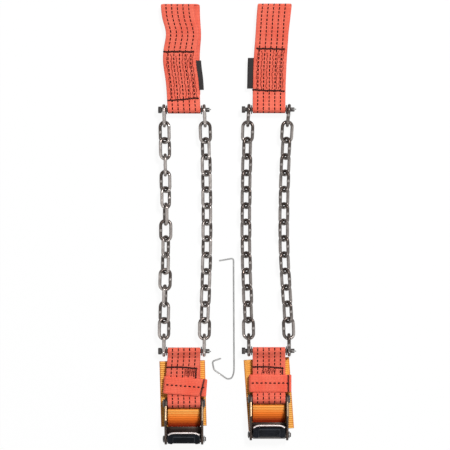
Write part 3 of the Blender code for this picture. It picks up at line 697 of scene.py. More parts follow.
def arc(centre, radius, start, stop, steps):
    """Points on an arc, its angles in degrees from the first axis towards the second."""
    turns = [math.radians(start + (stop - start) * step / steps) for step in range(steps + 1)]
    x, y = centre
    return [Vector((x + radius * math.cos(turn), y + radius * math.sin(turn))) for turn in turns]


def tangent(centre, radius, point, side):
    """The angle on a circle where a line from an outside point touches it."""
    reach = Vector(point) - Vector(centre)
    return math.degrees(math.atan2(reach.y, reach.x) + side * math.acos(radius / reach.length))


def even_steps(path, step, closed=False):
    """The same path with points no further apart than a step, and how far along each lies."""
    corners = list(path) + ([path[0]] if closed else [])
    points, along, total = [], [], 0.0
    for start, stop in zip(corners, corners[1:]):
        length = (stop - start).length
        count = max(1, math.ceil(length / step))
        for part in range(count):
            points.append(start.lerp(stop, part / count))
            along.append(total + length * part / count)
        total += length
    if not closed:
        points.append(corners[-1])
        along.append(total)
    return points, along, total


def normals_of(points, closed):
    """The unit normal at each point of a flat path, to the left of its run."""
    count = len(points)
    found = []
    for place in range(count):
        before = points[place - 1] if closed or place else points[place]
        after = points[(place + 1) % count] if closed or place < count - 1 else points[place]
        run = (after - before).normalized()
        found.append(Vector((-run.y, run.x)))
    return found


def link_object(name, mesh, finish=None):
    made = bpy.data.objects.new(name, mesh)
    bpy.context.scene.collection.objects.link(made)
    if finish:
        mesh.materials.clear()
        mesh.materials.append(finish)
    return made


print("path helpers ready")

# %% The ribbon
EDGE_STEPS = 4
ACROSS_STEPS = 12
RIB_ROUND = 0.6


def ribbon_section(width, thick):
    """A flat oval: (across, up) pairs round the strap, up in half thicknesses, starting at its top left."""
    flat = width / 2 - thick / 2
    top = [(-flat + 2 * flat * step / ACROSS_STEPS, 1.0) for step in range(ACROSS_STEPS + 1)]
    turns = [math.pi / 2 - math.pi * step / EDGE_STEPS for step in range(1, EDGE_STEPS)]
    right = [(flat + thick / 2 * math.cos(turn), math.sin(turn)) for turn in turns]
    bottom = [(across, -1.0) for across, up in reversed(top)]
    left = [(-across, up) for across, up in reversed(right)]
    return top + right + bottom + left


def ribbon(name, path, width, thick, finish, spot, closed=False, step=0.002, rib=None, shade=None):
    """A woven strap along a flat path. spot turns (place on the path, across) into a point of the frame.

    rib is the pitch and the depth of its cross ribs. shade gives a shade from 0 to 1 for a share of the run.
    """
    points, along, total = even_steps(path, step, closed)
    normals = normals_of(points, closed)
    section = ribbon_section(width, thick)
    shape = bmesh.new()
    map_layer = shape.loops.layers.uv.new("strap")
    valley_layer = shape.verts.layers.float.new("valley")
    shade_layer = shape.verts.layers.float.new("shade")
    rings = []
    for point, normal, run in zip(points, normals, along):
        swell = 0.0
        if rib:
            swell = rib[1] * (abs(math.sin(math.pi * run / rib[0])) ** RIB_ROUND - 1.0)
        ring = []
        for across, up in section:
            vert = shape.verts.new(spot(point + normal * up * (thick / 2 + swell), across))
            vert[valley_layer] = min(1.0, -swell / rib[1]) if rib else 0.0
            vert[shade_layer] = shade(run / total) if shade else 0.0
            ring.append(vert)
        rings.append((ring, run))
    count = len(section)
    dash = DASH_PITCH * round(total / DASH_PITCH) / total if closed else 1.0
    following = rings[1:] + ([(rings[0][0], total)] if closed else [])
    for (ring, run), (next_ring, next_run) in zip(rings, following):
        for place in range(count):
            after = (place + 1) % count
            face = shape.faces.new((ring[place], ring[after], next_ring[after], next_ring[place]))
            face.smooth = True
            marks = ((section[place][0], run * dash), (section[after][0], run * dash),
                     (section[after][0], next_run * dash), (section[place][0], next_run * dash))
            for loop, mark in zip(face.loops, marks):
                loop[map_layer].uv = mark
    if not closed:
        for ring, run in (rings[0], rings[-1]):
            face = shape.faces.new(ring)
            for loop, (across, up) in zip(face.loops, section):
                loop[map_layer].uv = (across, run)
    bmesh.ops.recalc_face_normals(shape, faces=shape.faces)
    mesh = bpy.data.meshes.new(name)
    shape.to_mesh(mesh)
    shape.free()
    return link_object(name, mesh, finish), total


def wrap_radius(diameter):
    """The middle of a strap wrapped on a round bar."""
    return diameter / 2 + SEAT_GAP + STRAP_THICK / 2


print("webbing helpers ready")

# %% [markdown]
# ## The long anchor strap
# The strap runs from a sewn leg, round the upper pin, along the top of the stack and back and forth under
# it. The folded layers are never quite in line: the top run leans one way and the tail under it another,
# and the selvedges wander slightly. On the second bracelet the top run also bulges sideways. A cloth
# simulation could fold it, but not to the same folds each time, so the layers are laid by a rule.

# %% Anchor straps
WEBBING_RIB = (0.0017, 0.00010)
RIB_STEP = 0.00043
SEWN_LEG = 0.075
TOP_FOLD = 0.1225
INNER_FOLD = 0.117
NEAR_FOLD = 0.018
TAIL_END = 0.030
TOP_LAYER = 4
RIPPLE_LOST = 0.6
WANDER = 0.00022
WANDER_ALONG = 95
WANDER_UP = 700


def anchor_path(pin_height):
    """The strap's middle line, measured from the upper pin: along the strap, and up."""
    level = [STRAP_THICK / 2 + LAYER * step - pin_height for step in range(TOP_LAYER + 1)]
    pin, radius = (0, 0), wrap_radius(PIN_DIAMETER)
    leg, run = Vector((NEAR_FOLD, level[3])), Vector((NEAR_FOLD, level[4]))
    tight = LAYER / 2
    path = [Vector((SEWN_LEG, level[3])), leg]
    path += arc(pin, radius, 360 + tangent(pin, radius, leg, -1), tangent(pin, radius, run, 1), 20)
    path += [run]
    path += arc((TOP_FOLD - LAYER, level[3]), LAYER, 90, -90, 10)
    path += arc((NEAR_FOLD + tight, (level[2] + level[1]) / 2), tight, 90, 270, 8)
    path += arc((INNER_FOLD - tight, (level[1] + level[0]) / 2), tight, 90, -90, 8)
    return path + [Vector((TAIL_END, level[0]))]


def anchor_spot(bracelet):
    """Where a point of the anchor strap lies: its top run leans one way, the tail under it another."""
    top = STRAP_THICK / 2 + TOP_LAYER * LAYER - bracelet.upper.z

    def spot(point, across):
        depth = clamp((top - point.y) / (2 * LAYER))
        lean = bracelet.lean + (bracelet.tail_lean - bracelet.lean) * depth
        away = max(0.0, point.x) / TOP_FOLD
        shift = lean * point.x * away ** bracelet.bow
        ripple = sum(size * math.exp(-((point.x - middle) / spread) ** 2)
                     for middle, spread, size in bracelet.bulges)
        ripple *= 1 - RIPPLE_LOST * depth
        wander = WANDER * math.sin(point.x * WANDER_ALONG + point.y * WANDER_UP) * min(1.0, away * 3)
        x = bracelet.x + across + shift + ripple + wander
        return Vector((x, bracelet.upper.y + point.x, bracelet.upper.z + point.y))

    return spot


def anchor_strap(bracelet):
    name = bracelet.name("anchor_strap")
    strap, length = ribbon(
        name + "_webbing", anchor_path(bracelet.upper.z), STRAP_WIDTH, STRAP_THICK, strap_red,
        anchor_spot(bracelet), step=RIB_STEP, rib=WEBBING_RIB)
    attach(strap, bracelet.anchor_body)
    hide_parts(name)
    bracelet.name("upper_pin")
    print(strap.name, round(length * 1000), "mm of webbing")


for each in bracelets:
    anchor_strap(each)

# %% [markdown]
# ## The short lower strap
# The lower strap is one closed loop, sewn shut, round the lower pin and the buckle's bar. Its two legs lie
# together between them. Two circles and the lines that touch them give the loop's path, so it stays tight on
# both.

# %% Lower straps
STRAP_NECK = 0.0076


def strap_level(bracelet):
    return (bracelet.bar.z + bracelet.lower.z) / 2


def lower_path(bracelet):
    """The closed middle line of the lower strap: along the bracelet, and up."""
    bar, pin = Vector(bracelet.bar.yz), Vector(bracelet.lower.yz)
    on_bar, on_pin = wrap_radius(BAR_DIAMETER), wrap_radius(PIN_DIAMETER)
    low, high = strap_level(bracelet) - LAYER / 2, strap_level(bracelet) + LAYER / 2
    near = [Vector((bar.x + STRAP_NECK, height)) for height in (low, high)]
    far = [Vector((pin.x - STRAP_NECK, height)) for height in (low, high)]
    start, stop = tangent(bar, on_bar, near[1], 1), 360 + tangent(bar, on_bar, near[0], -1)
    path = arc(bar, on_bar, start, stop, 20) + [near[0], far[0]]
    start = (tangent(pin, on_pin, far[0], 1) + 180) % 360 - 180
    stop = (tangent(pin, on_pin, far[1], -1) + 180) % 360 - 180
    return path + arc(pin, on_pin, start, stop, 20) + [far[1], near[1]]


def lower_spot(bracelet):
    """Where a point of the lower strap lies: its upper leg may sway to one side between pin and bar."""
    def spot(point, across):
        share = clamp((point.x - bracelet.bar.y) / (bracelet.lower.y - bracelet.bar.y))
        upper = clamp((point.y - strap_level(bracelet)) / (LAYER / 2))
        sway = bracelet.lower_sway * upper * math.sin(math.pi * share) ** 2
        return Vector((bracelet.x + across + sway, point.x, point.y))

    return spot


def lower_strap(bracelet):
    name = bracelet.name("lower_strap")
    strap, length = ribbon(
        name + "_webbing", lower_path(bracelet), STRAP_WIDTH, STRAP_THICK, strap_red, lower_spot(bracelet),
        closed=True, step=RIB_STEP, rib=WEBBING_RIB)
    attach(strap, bracelet.strap_body)
    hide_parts(name)
    bracelet.name("lower_pin")
    bracelet.name("buckle_frame")
    print(strap.name, round(length * 1000), "mm round")


for each in bracelets:
    lower_strap(each)

# %% [markdown]
# ## Keepers
# The keeper is a plain red band with cross ribs that holds the lower strap's legs together. At its right end
# the band is folded back on itself, and the fold shows as a dark slit. A painted slit would stay flat from
# the side, so the band's path really turns there, and the finish only deepens its shade.

# %% Keepers
KEEPER_WIDTH = 0.020
KEEPER_CLEARANCE = 0.0003
KEEPER_RIB = (0.0017, 0.00014)
KEEPER_STEP = 0.0005
FOLD_OUT = 0.0026
# The folded end: (out past the bend's middle, up in radii of the bend).
KEEPER_FOLD = (
    (0.0006, -0.96), (0.0019, -0.72), (FOLD_OUT, -0.1), (FOLD_OUT, 0.50), (0.0020, 0.95), (0.0011, 0.98),
    (0.0006, 0.50), (0.0005, 0.0), (-0.0018, 0.0), (-0.0018, 0.50), (-0.0023, 0.90), (-0.0032, 1.0))
SLIT_MIDDLE = 0.0108
SLIT_SPREAD = 0.0037
SLIT_FROM = 0.5
SLIT_RUN = 0.4
SLIT_FADE = 0.0030


def keeper_place(bracelet):
    """The middle of a keeper, half of its width, and its turn."""
    low, high = [Vector(corner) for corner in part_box(bracelet.name("keeper"))]
    return (low + high) / 2, (high.x - low.x) / 2, Matrix.Rotation(bracelet.keeper_turn, 3, "Z")


def keeper_band(bracelet):
    name = bracelet.name("keeper")
    middle, half_width, turn = keeper_place(bracelet)
    radius = LAYER_GAP / 2 + STRAP_THICK + KEEPER_CLEARANCE + STRAP_THICK / 2
    half = half_width - radius - STRAP_THICK / 2
    path = [Vector((half + out, radius * up)) for out, up in KEEPER_FOLD]
    path += arc((-half, 0), radius, 90, 270, 10)
    round_length = even_steps(path, KEEPER_STEP, True)[2]

    def spot(point, across):
        near_slit = clamp((point.x - SLIT_FROM * half) / (SLIT_RUN * half))
        loose = min(near_slit, clamp((half + FOLD_OUT - point.x) / SLIT_FADE))
        lean = bracelet.slit_lean * (across - KEEPER_WIDTH / 2) * loose
        return middle + turn @ Vector((point.x + lean, across, point.y))

    # The slit's painted shade: full at its middle, fading to none on either side.
    def shade(share):
        away = (share * round_length - SLIT_MIDDLE) / SLIT_SPREAD
        return max(0.0, 1.0 - away ** 4)

    band, length = ribbon(
        name + "_band", path, KEEPER_WIDTH, STRAP_THICK, keeper_red, spot, closed=True, step=KEEPER_STEP,
        rib=KEEPER_RIB, shade=shade)
    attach(band, bracelet.keeper_body)
    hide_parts(name)
    bracelet.name("lower_strap")
    print(band.name, round(length * 1000), "mm round")


for each in bracelets:
    keeper_band(each)

# %% [markdown]
# ## The yellow pad
# The pad is wider webbing with strong cross ribs, laid a little askew under the buckle. Between the
# cheeks the same webbing rises in a fold: bright at its crest by the red strap, dark where it dives under
# the lever, and that dark is partly painted shade. One long path could give both, but pad and fold have
# different widths, so they are two ribbons with the same finish.

# %% Pads and folds
PAD_WIDTH = 0.053
PAD_LENGTH = 0.083
PAD_RIB = (0.0023, 0.00042)
PAD_STEP = 0.00046
FOLD_RIB = (0.0028, 0.00042)
FOLD_STEP = 0.0004
FOLD_WIDTH = 0.038
FOLD_HEIGHT = 0.0082
FOLD_THICK = 0.0014
FOLD_CLEAR = 0.00042
FOLD_CURL = 2.6
FOLD_POINTS = 24
FLOOR_FROM_PIVOT = 0.0137
LIT_SHADE = 0.20
DARK_FROM = 0.32
DARK_OVER = 0.60


def pad_slab(bracelet):
    turn = Matrix.Rotation(bracelet.pad_turn, 3, "Z")

    def spot(point, across):
        return bracelet.pad_middle + turn @ Vector((across, point.x, point.y))

    half = (PAD_LENGTH - bracelet.pad_tuck) / 2
    ends = [Vector((-half, PAD_THICK / 2)), Vector((half, PAD_THICK / 2))]
    return ribbon(bracelet.name("pad_webbing"), ends, PAD_WIDTH, PAD_THICK, pad_yellow, spot, step=PAD_STEP,
                  rib=PAD_RIB)


def fold_path(bracelet):
    """The fold's middle line: tucked under the red loop, over a crest, and down to the pad."""
    front = bracelet.bar.y - wrap_radius(BAR_DIAMETER) - STRAP_THICK - FOLD_THICK / 2
    rear = bracelet.pivot.y + FLOOR_FROM_PIVOT + FOLD_CLEAR
    path = [Vector((front, PAD_THICK + FOLD_THICK / 2))]
    for step in range(FOLD_POINTS + 1):
        share = step / FOLD_POINTS
        height = PAD_THICK + (FOLD_HEIGHT - PAD_THICK) * (1 - share ** FOLD_CURL)
        path.append(Vector((front + (rear - front) * share, height)))
    return path


def pad(bracelet):
    slab, length = pad_slab(bracelet)

    def spot(point, across):
        return Vector((bracelet.x + across, point.x, point.y))

    # Painted shade down the fold: light at its crest, darkest at its foot under the lever.
    def shade(share):
        return LIT_SHADE + (1 - LIT_SHADE) * clamp((share - DARK_FROM) / DARK_OVER)

    fold, rise = ribbon(bracelet.name("pad_fold"), fold_path(bracelet), FOLD_WIDTH, FOLD_THICK, pad_yellow,
                        spot, step=FOLD_STEP, rib=FOLD_RIB, shade=shade)
    for piece, size in ((slab, (PAD_WIDTH, length)), (fold, (FOLD_WIDTH, rise))):
        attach(piece, bracelet.strap_body)
        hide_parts(bracelet.name("pad"))
    slab_mm = [round(side * 1000) for side in (PAD_WIDTH, length)]
    print(slab.name, slab_mm, "mm, fold", round(rise * 1000), "mm")


for each in bracelets:
    pad(each)

# %% [markdown]
# ## Stitches
# A seam is a line of short, equal threads. Drawing each by hand would take hundreds of small shapes, so a
# Geometry Nodes tree does it: the seam's line becomes a curve, the curve is cut into equal steps, and one
# small spindle is placed at every step, turned along the line and lying flat on the cloth. The result is
# turned into a plain mesh, so that it rides on its body like any other piece.


# %% Stitch tree
def geometry_tree(name, inputs):
    """An empty Geometry Nodes tree with a geometry input and the named float inputs."""
    tree = bpy.data.node_groups.new(name, "GeometryNodeTree")
    tree.interface.new_socket("Geometry", in_out="INPUT", socket_type="NodeSocketGeometry")
    for label, value in inputs.items():
        socket = tree.interface.new_socket(label, in_out="INPUT", socket_type="NodeSocketFloat")
        socket.default_value = value
    tree.interface.new_socket("Geometry", in_out="OUTPUT", socket_type="NodeSocketGeometry")
    return tree, tree.nodes.new("NodeGroupInput"), tree.nodes.new("NodeGroupOutput")


def finish_tree(tree, placed, finish, leave):
    """Ends a tree: its placed shapes become one smooth, plain mesh with one finish."""
    real = add_node(tree, "GeometryNodeRealizeInstances", {"Geometry": placed.outputs[0]})
    smooth = add_node(tree, "GeometryNodeSetShadeSmooth", {"Geometry": real.outputs[0]})
    dressed = add_node(tree, "GeometryNodeSetMaterial", {"Geometry": smooth.outputs[0], "Material": finish})
    tree.links.new(dressed.outputs[0], leave.inputs[0])
    return tree


def stitch_tree(finish):
    tree, enter, leave = geometry_tree("stitches_" + finish.name, {
        "Pitch": 0.003, "Length": 0.0024, "Width": 0.0008, "Height": 0.0004})
    seam = add_node(tree, "GeometryNodeMeshToCurve", {"Mesh": enter.outputs["Geometry"]})
    steps = add_node(tree, "GeometryNodeResampleCurve", {
        "Curve": seam.outputs[0], "Length": enter.outputs["Pitch"]}, mode="LENGTH")
    spindle = add_node(tree, "GeometryNodeMeshUVSphere", {"Segments": 6, "Rings": 5, "Radius": 0.5})
    along = add_node(tree, "FunctionNodeAlignRotationToVector", {
        "Vector": tree.nodes.new("GeometryNodeInputTangent").outputs[0]}, axis="Z")
    turn = add_node(tree, "FunctionNodeAlignRotationToVector", {
        "Rotation": along.outputs[0], "Vector": (0, 0, 1)}, axis="Y", pivot_axis="Z")
    size = add_node(tree, "ShaderNodeCombineXYZ", {
        "X": enter.outputs["Width"], "Y": enter.outputs["Height"], "Z": enter.outputs["Length"]})
    placed = add_node(tree, "GeometryNodeInstanceOnPoints", {
        "Points": steps.outputs[0], "Instance": spindle.outputs["Mesh"], "Rotation": turn.outputs[0],
        "Scale": size.outputs[0]})
    return finish_tree(tree, placed, finish, leave)


def grown(name, mesh, tree, **values):
    """The plain mesh that a Geometry Nodes tree makes from a mesh."""
    seed = link_object(name + "_seed", mesh)
    modifier = seed.modifiers.new("grow", "NODES")
    modifier.node_group = tree
    sockets = {item.name: item.identifier for item in tree.interface.items_tree if item.in_out == "INPUT"}
    for label, value in values.items():
        modifier[sockets[label]] = value
    bpy.context.view_layer.update()
    done = bpy.data.meshes.new_from_object(seed.evaluated_get(bpy.context.evaluated_depsgraph_get()))
    bpy.data.objects.remove(seed)
    return link_object(name, done)


def seam_mesh(name, lines):
    """Several polylines as one mesh of edges."""
    points, edges = [], []
    for line in lines:
        edges += [(len(points) + step, len(points) + step + 1) for step in range(len(line) - 1)]
        points += line
    mesh = bpy.data.meshes.new(name)
    mesh.from_pydata(points, edges, [])
    return mesh


def stitches(name, lines, tree, body, size):
    """A seam of threads along lines, its size as the thread's pitch, length, width and height."""
    pitch, length, width, height = size
    made = grown(name, seam_mesh(name, lines), tree, Pitch=pitch, Length=length, Width=width, Height=height)
    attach(made, body)
    print(name, len(lines), "lines,", len(made.data.polygons), "faces")


black_stitch = stitch_tree(black_thread)
brown_stitch = stitch_tree(brown_thread)
print("stitch trees ready")

# %% [markdown]
# ## Seams of each strap
# Two black cross seams close the anchor strap's loop, with rows of brown lock stitches between them. The
# lower strap has one black seam with a short leg at its right end and a brown zigzag below it. Each keeper
# has a row of long black dashes across its middle.

# %% Sew the anchor straps
SEAM_LIFT = 0.00004
CROSS_THREAD = (0.0022, 0.0034, 0.0025, 0.0012)
CROSS_DRIFT = 0.00025
CROSS_POINTS = 15
LOCK_THREAD = (0.0024, 0.0025, 0.0011, 0.0008)
LOCK_ROWS = (-0.0146, -0.0096, -0.0033, 0.0036, 0.0085, 0.0118, 0.0152)
LOCK_DRIFT = 0.0006
LOCK_POINTS = 25
LOCK_FROM_NEAR = 0.0024
LOCK_FROM_FAR = 0.0018
LOCK_STAGGER = 0.002


def wavy(step, size, seed):
    """A small even wandering from step to step, as a hand-guided seam has."""
    return size * (math.sin(1.7 * step + seed) + 0.6 * math.sin(0.61 * step + 2 * seed))


def top_of(path, along):
    """The height of the uppermost layer of a path's ribbon at a place along it."""
    heights = []
    for start, stop in zip(path, path[1:]):
        if min(start.x, stop.x) <= along <= max(start.x, stop.x):
            heights.append(start.y + (stop.y - start.y) * (along - start.x) / ((stop.x - start.x) or 1))
    return max(heights) + STRAP_THICK / 2 + SEAM_LIFT


def anchor_seams(bracelet):
    spot = anchor_spot(bracelet)
    path = anchor_path(bracelet.upper.z)

    def on_top(across, along):
        return spot(Vector((along, top_of(path, along))), across)

    def across_seam(start, stop, seed):
        line = []
        for step in range(CROSS_POINTS):
            across, along = Vector(start).lerp(Vector(stop), step / (CROSS_POINTS - 1))
            line.append(on_top(across, along + wavy(step, CROSS_DRIFT, seed)))
        return line

    def lock_row(across, low, high, seed):
        line = []
        for step in range(LOCK_POINTS):
            along = low + (high - low) * step / (LOCK_POINTS - 1)
            line.append(on_top(across + wavy(step, LOCK_DRIFT, seed), along))
        return line

    name = bracelet.name("anchor_strap")
    near, far = bracelet.seams["near"], bracelet.seams["far"]
    cross = [across_seam(*near, 0.4), across_seam(*far, 1.9)]
    stitches(name + "_seams", cross, black_stitch, bracelet.anchor_body, CROSS_THREAD)
    low, high = near[0][1] + LOCK_FROM_NEAR, far[0][1] - LOCK_FROM_FAR
    locks = [lock_row(across, low, high - LOCK_STAGGER * (row % 3), row)
             for row, across in enumerate(LOCK_ROWS)]
    stitches(name + "_locks", locks, brown_stitch, bracelet.anchor_body, LOCK_THREAD)


for each in bracelets:
    anchor_seams(each)

# %% Sew the lower straps
LOWER_SEAM_FROM_PIN = 0.0187
LOWER_THREAD = (0.0021, 0.0034, 0.0023, 0.00046)
SEAM_LEFT = -0.0178
SEAM_RIGHT = 0.0154
SEAM_BOW = 0.0008
SEAM_SLANT = 0.0015
SEAM_STEPS = 12
LEG_SHARES = (0, 0.45, 0.9)
ZIGZAG_THREAD = (0.0019, 0.0019, 0.0010, 0.00046)
ZIGZAG_FROM_SEAM = 0.0018
ZIGZAG_FROM_KEEPER = 0.0012
ZIGZAG_STEPS = 11


def lower_seams(bracelet):
    spot = lower_spot(bracelet)
    top = strap_level(bracelet) + LAYER / 2 + STRAP_THICK / 2 + SEAM_LIFT
    seam = bracelet.lower.y - LOWER_SEAM_FROM_PIN
    keeper_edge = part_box(bracelet.name("keeper"))[1].y
    cross, zigzag = [], []
    for step in range(SEAM_STEPS + 1):
        share = step / SEAM_STEPS
        along = seam + SEAM_BOW * math.sin(math.pi * share) - SEAM_SLANT * share
        cross.append(spot(Vector((along, top)), SEAM_LEFT + (SEAM_RIGHT - SEAM_LEFT) * share))
    leg = [spot(Vector((along + (keeper_edge - seam) * share, top)), SEAM_RIGHT) for share in LEG_SHARES]
    name = bracelet.name("lower_strap")
    stitches(name + "_seams", [cross, leg], black_stitch, bracelet.strap_body, LOWER_THREAD)
    start, stop = bracelet.zigzag
    for step in range(ZIGZAG_STEPS + 1):
        along = seam - ZIGZAG_FROM_SEAM if step % 2 else keeper_edge + ZIGZAG_FROM_KEEPER
        zigzag.append(spot(Vector((along, top)), start + (stop - start) * step / ZIGZAG_STEPS))
    stitches(name + "_zigzag", [zigzag], brown_stitch, bracelet.strap_body, ZIGZAG_THREAD)


for each in bracelets:
    lower_seams(each)

# %% Sew the keepers
KEEPER_THREAD = (0.0046, 0.0032, 0.0019, 0.0008)
KEEPER_SEAM_INSET = 0.0045
KEEPER_SEAM_RISE = 0.0005


def keeper_seam(bracelet):
    middle, half_width, turn = keeper_place(bracelet)
    height = LAYER_GAP / 2 + 2 * STRAP_THICK + KEEPER_CLEARANCE + SEAM_LIFT
    half = half_width - KEEPER_SEAM_INSET
    line = [middle + turn @ Vector((end, KEEPER_SEAM_RISE, height)) for end in (-half, half)]
    stitches(bracelet.name("keeper_seam"), [line], black_stitch, bracelet.keeper_body, KEEPER_THREAD)


for each in bracelets:
    keeper_seam(each)

# %% [markdown]
# ## Cloth tags
# Each anchor strap has a small tag of black cloth sewn into one edge. It is a short, thin ribbon. Its place
# is measured on the strap and passed through the strap's own lean, so it stays in the seam.

# %% Tags
TAG_IN = 0.0056
TAG_THICK = 0.0005
TAG_LAYER = 3.5


def tag(bracelet):
    spot = anchor_spot(bracelet)
    start, stop, reach = bracelet.seams["tag"]
    middle = (start + stop) / 2
    level = STRAP_THICK / 2 + TAG_LAYER * LAYER - bracelet.upper.z

    def on_edge(point, across):
        along = Vector((middle + across, level + point.y))
        return spot(along, bracelet.tag_side * (STRAP_WIDTH / 2 + point.x))

    path = [Vector((-TAG_IN, 0)), Vector((reach, 0))]
    made, depth = ribbon(
        bracelet.name("anchor_strap_tag"), path, stop - start, TAG_THICK, tag_black, on_edge)
    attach(made, bracelet.anchor_body)
    bracelet.name("anchor_strap")
    print(made.name, round(depth * 1000, 1), "mm deep")


for each in bracelets:
    tag(each)

# %% [markdown]
# ## Chain links
# A welded link is a ring of round wire with two straight sides and a small weld bump on one of them. Painted
# shade darkens its welded limb, the inner sides of its limbs, its upper end and the insides of its bends
# where the next link bears on them. One link is built in a Geometry Nodes tree from a rectangle with filleted
# corners, with those places stored as marks, then placed on points that carry their own turn. In the first
# bracelet each row of two links is one plain mesh, because each row is one body. The second bracelet's chains
# are one body, and so one mesh.

# %% Link tree
LINK_WIRE = 0.004
LINK_WIDTH = 0.016
LINK_PITCH = 0.019
LINK_PLAY = 0.0006
WELD_RISE = 0.00025
FILLET_SHARE = 0.999
FILLET_POINTS = 10
RING_STEPS = 48
WIRE_SHARE = 0.97
WIRE_SIDES = 12
# Where a link carries painted shade: its welded limb, the inner sides of its limbs, its upper end and the
# insides of its bends.
LIMB_SHADE_ACROSS = (-0.0010, 0.0036)
LIMB_SHADE_ALONG = (-0.0065, 0.0010)
LIMB_SHADE_LEAST = 0.72
INNER_FACING = (0.6, -0.5)
INNER_SHARE = 0.5
# Painted shade at a link's upper end, and how much of it.
SHADED_END = (0.0058, 0.0090)
SHADED_END_SHARE = 0.85
BEARING_END = (0.0066, 0.0092)
BEARING_FACING = (0.2, -0.5)
WELD_FADE = (0.0015, 0.0003)
BEND_RADIUS = (LINK_WIDTH - LINK_WIRE) / 2


def link_ring(tree):
    """One link along Y as a tube round a filleted rectangle."""
    frame_line = add_node(tree, "GeometryNodeCurvePrimitiveQuadrilateral", {
        "Width": 2 * BEND_RADIUS, "Height": LINK_PITCH + LINK_PLAY + LINK_WIRE})
    ring = add_node(tree, "GeometryNodeFilletCurve", {
        "Curve": frame_line.outputs[0], "Count": FILLET_POINTS, "Radius": BEND_RADIUS * FILLET_SHARE},
        mode="POLY")
    steps = add_node(tree, "GeometryNodeResampleCurve", {"Curve": ring.outputs[0], "Count": RING_STEPS})
    wire = add_node(tree, "GeometryNodeCurvePrimitiveCircle", {
        "Resolution": WIRE_SIDES, "Radius": WIRE_SHARE * LINK_WIRE / 2})
    return add_node(tree, "GeometryNodeCurveToMesh", {
        "Curve": steps.outputs[0], "Profile Curve": wire.outputs[0]}).outputs[0]


def link_marks(tree):
    """Marks of a link: painted shade on its welded limb, its limbs' inner sides and its ends, and the weld.
    """
    place, facing = [add_node(tree, "ShaderNodeSeparateXYZ", {0: tree.nodes.new(kind).outputs[0]}).outputs
                     for kind in ("GeometryNodeInputPosition", "GeometryNodeInputNormal")]
    along = maths(tree, "ABSOLUTE", place["Y"])
    outward = {axis: maths(tree, "MULTIPLY", facing[axis], maths(tree, "SIGN", place[axis])) for axis in "XY"}
    side = smooth_range(tree, place["X"], *LIMB_SHADE_ACROSS)
    upper = smooth_range(tree, place["Y"], *LIMB_SHADE_ALONG)
    upper = maths(tree, "MULTIPLY_ADD", upper, 1 - LIMB_SHADE_LEAST, LIMB_SHADE_LEAST)
    inner = smooth_range(tree, outward["X"], *INNER_FACING)
    end = maths(tree, "MULTIPLY", smooth_range(tree, place["Y"], *SHADED_END), SHADED_END_SHARE)
    within = smooth_range(tree, outward["Y"], *BEARING_FACING)
    bearing = maths(tree, "MULTIPLY", smooth_range(tree, along, *BEARING_END), within)
    return {
        "burnt": maths(tree, "MULTIPLY", side, upper),
        "inner": maths(tree, "MULTIPLY", inner, INNER_SHARE),
        "rub": maths(tree, "MAXIMUM", end, bearing),
        "weld": maths(tree, "MULTIPLY", smooth_range(tree, along, *WELD_FADE), side)}


def link_tree():
    tree, enter, leave = geometry_tree("chain_links", {})
    marks = link_marks(tree)
    marked = link_ring(tree)
    for label, value in marks.items():
        marked = add_node(tree, "GeometryNodeStoreNamedAttribute", {
            "Geometry": marked, "Name": label, "Value": value}, data_type="FLOAT", domain="POINT").outputs[0]
    normal = tree.nodes.new("GeometryNodeInputNormal").outputs[0]
    rise = maths(tree, "MULTIPLY", marks["weld"], WELD_RISE)
    offset = add_node(tree, "ShaderNodeVectorMath", {0: normal, "Scale": rise}, operation="SCALE")
    welded = add_node(tree, "GeometryNodeSetPosition", {"Geometry": marked, "Offset": offset.outputs[0]})
    angles = add_node(tree, "GeometryNodeInputNamedAttribute", {"Name": "turn"}, data_type="FLOAT_VECTOR")
    turn = add_node(tree, "FunctionNodeEulerToRotation", {0: angles.outputs[0]})
    placed = add_node(tree, "GeometryNodeInstanceOnPoints", {
        "Points": enter.outputs["Geometry"], "Instance": welded.outputs[0], "Rotation": turn.outputs[0]})
    return finish_tree(tree, placed, chain_steel, leave)


link_nodes = link_tree()
print("link tree:", len(link_nodes.nodes), "nodes")

# %% [markdown]
# ## Laying the chains
# On the table most links lean to one side and the other in turn, and the end links stand on edge on their
# pins. The whole chain sways a little. A physics run could drop it, but it would come to rest elsewhere than
# in the photograph. So a rule places the junctions between links, never lower than the leaning links allow,
# and gives each link its roll. One chain lies more loosely, and its rolls are listed link by link.

# %% Lay the chains
LINK_COUNT = 15
LINK_ROLLS = (90, 18, -50)
LINK_ROLL_EVEN = 42
LINK_ROLL_ODD = -44
SETTLE_LINKS = 5
SWAY_NEAR = 2.0
SWAY_FAR = 0.75
FLOOR_CLEARANCE = 0.0003
WASHER_THICK = 0.0012
SIDE_PLAY = 0.0006
CHAIN_HEIGHT = BEND_RADIUS * math.sin(math.radians(-LINK_ROLL_ODD)) + LINK_WIRE / 2 + FLOOR_CLEARANCE
CHAIN_HALF = STRAP_WIDTH / 2 + WASHER_THICK + 2 * SIDE_PLAY + LINK_WIRE / 2


def link_roll(bracelet, side, number):
    """A link's roll in degrees: on edge at the pins, then leaning to either side in turn."""
    if bracelet.left_rolls and side == 0:
        return bracelet.left_rolls[number - 1]
    from_end = min(number, LINK_COUNT + 1 - number)
    if from_end <= len(LINK_ROLLS):
        return LINK_ROLLS[from_end - 1]
    return LINK_ROLL_EVEN if number % 2 == 0 else LINK_ROLL_ODD


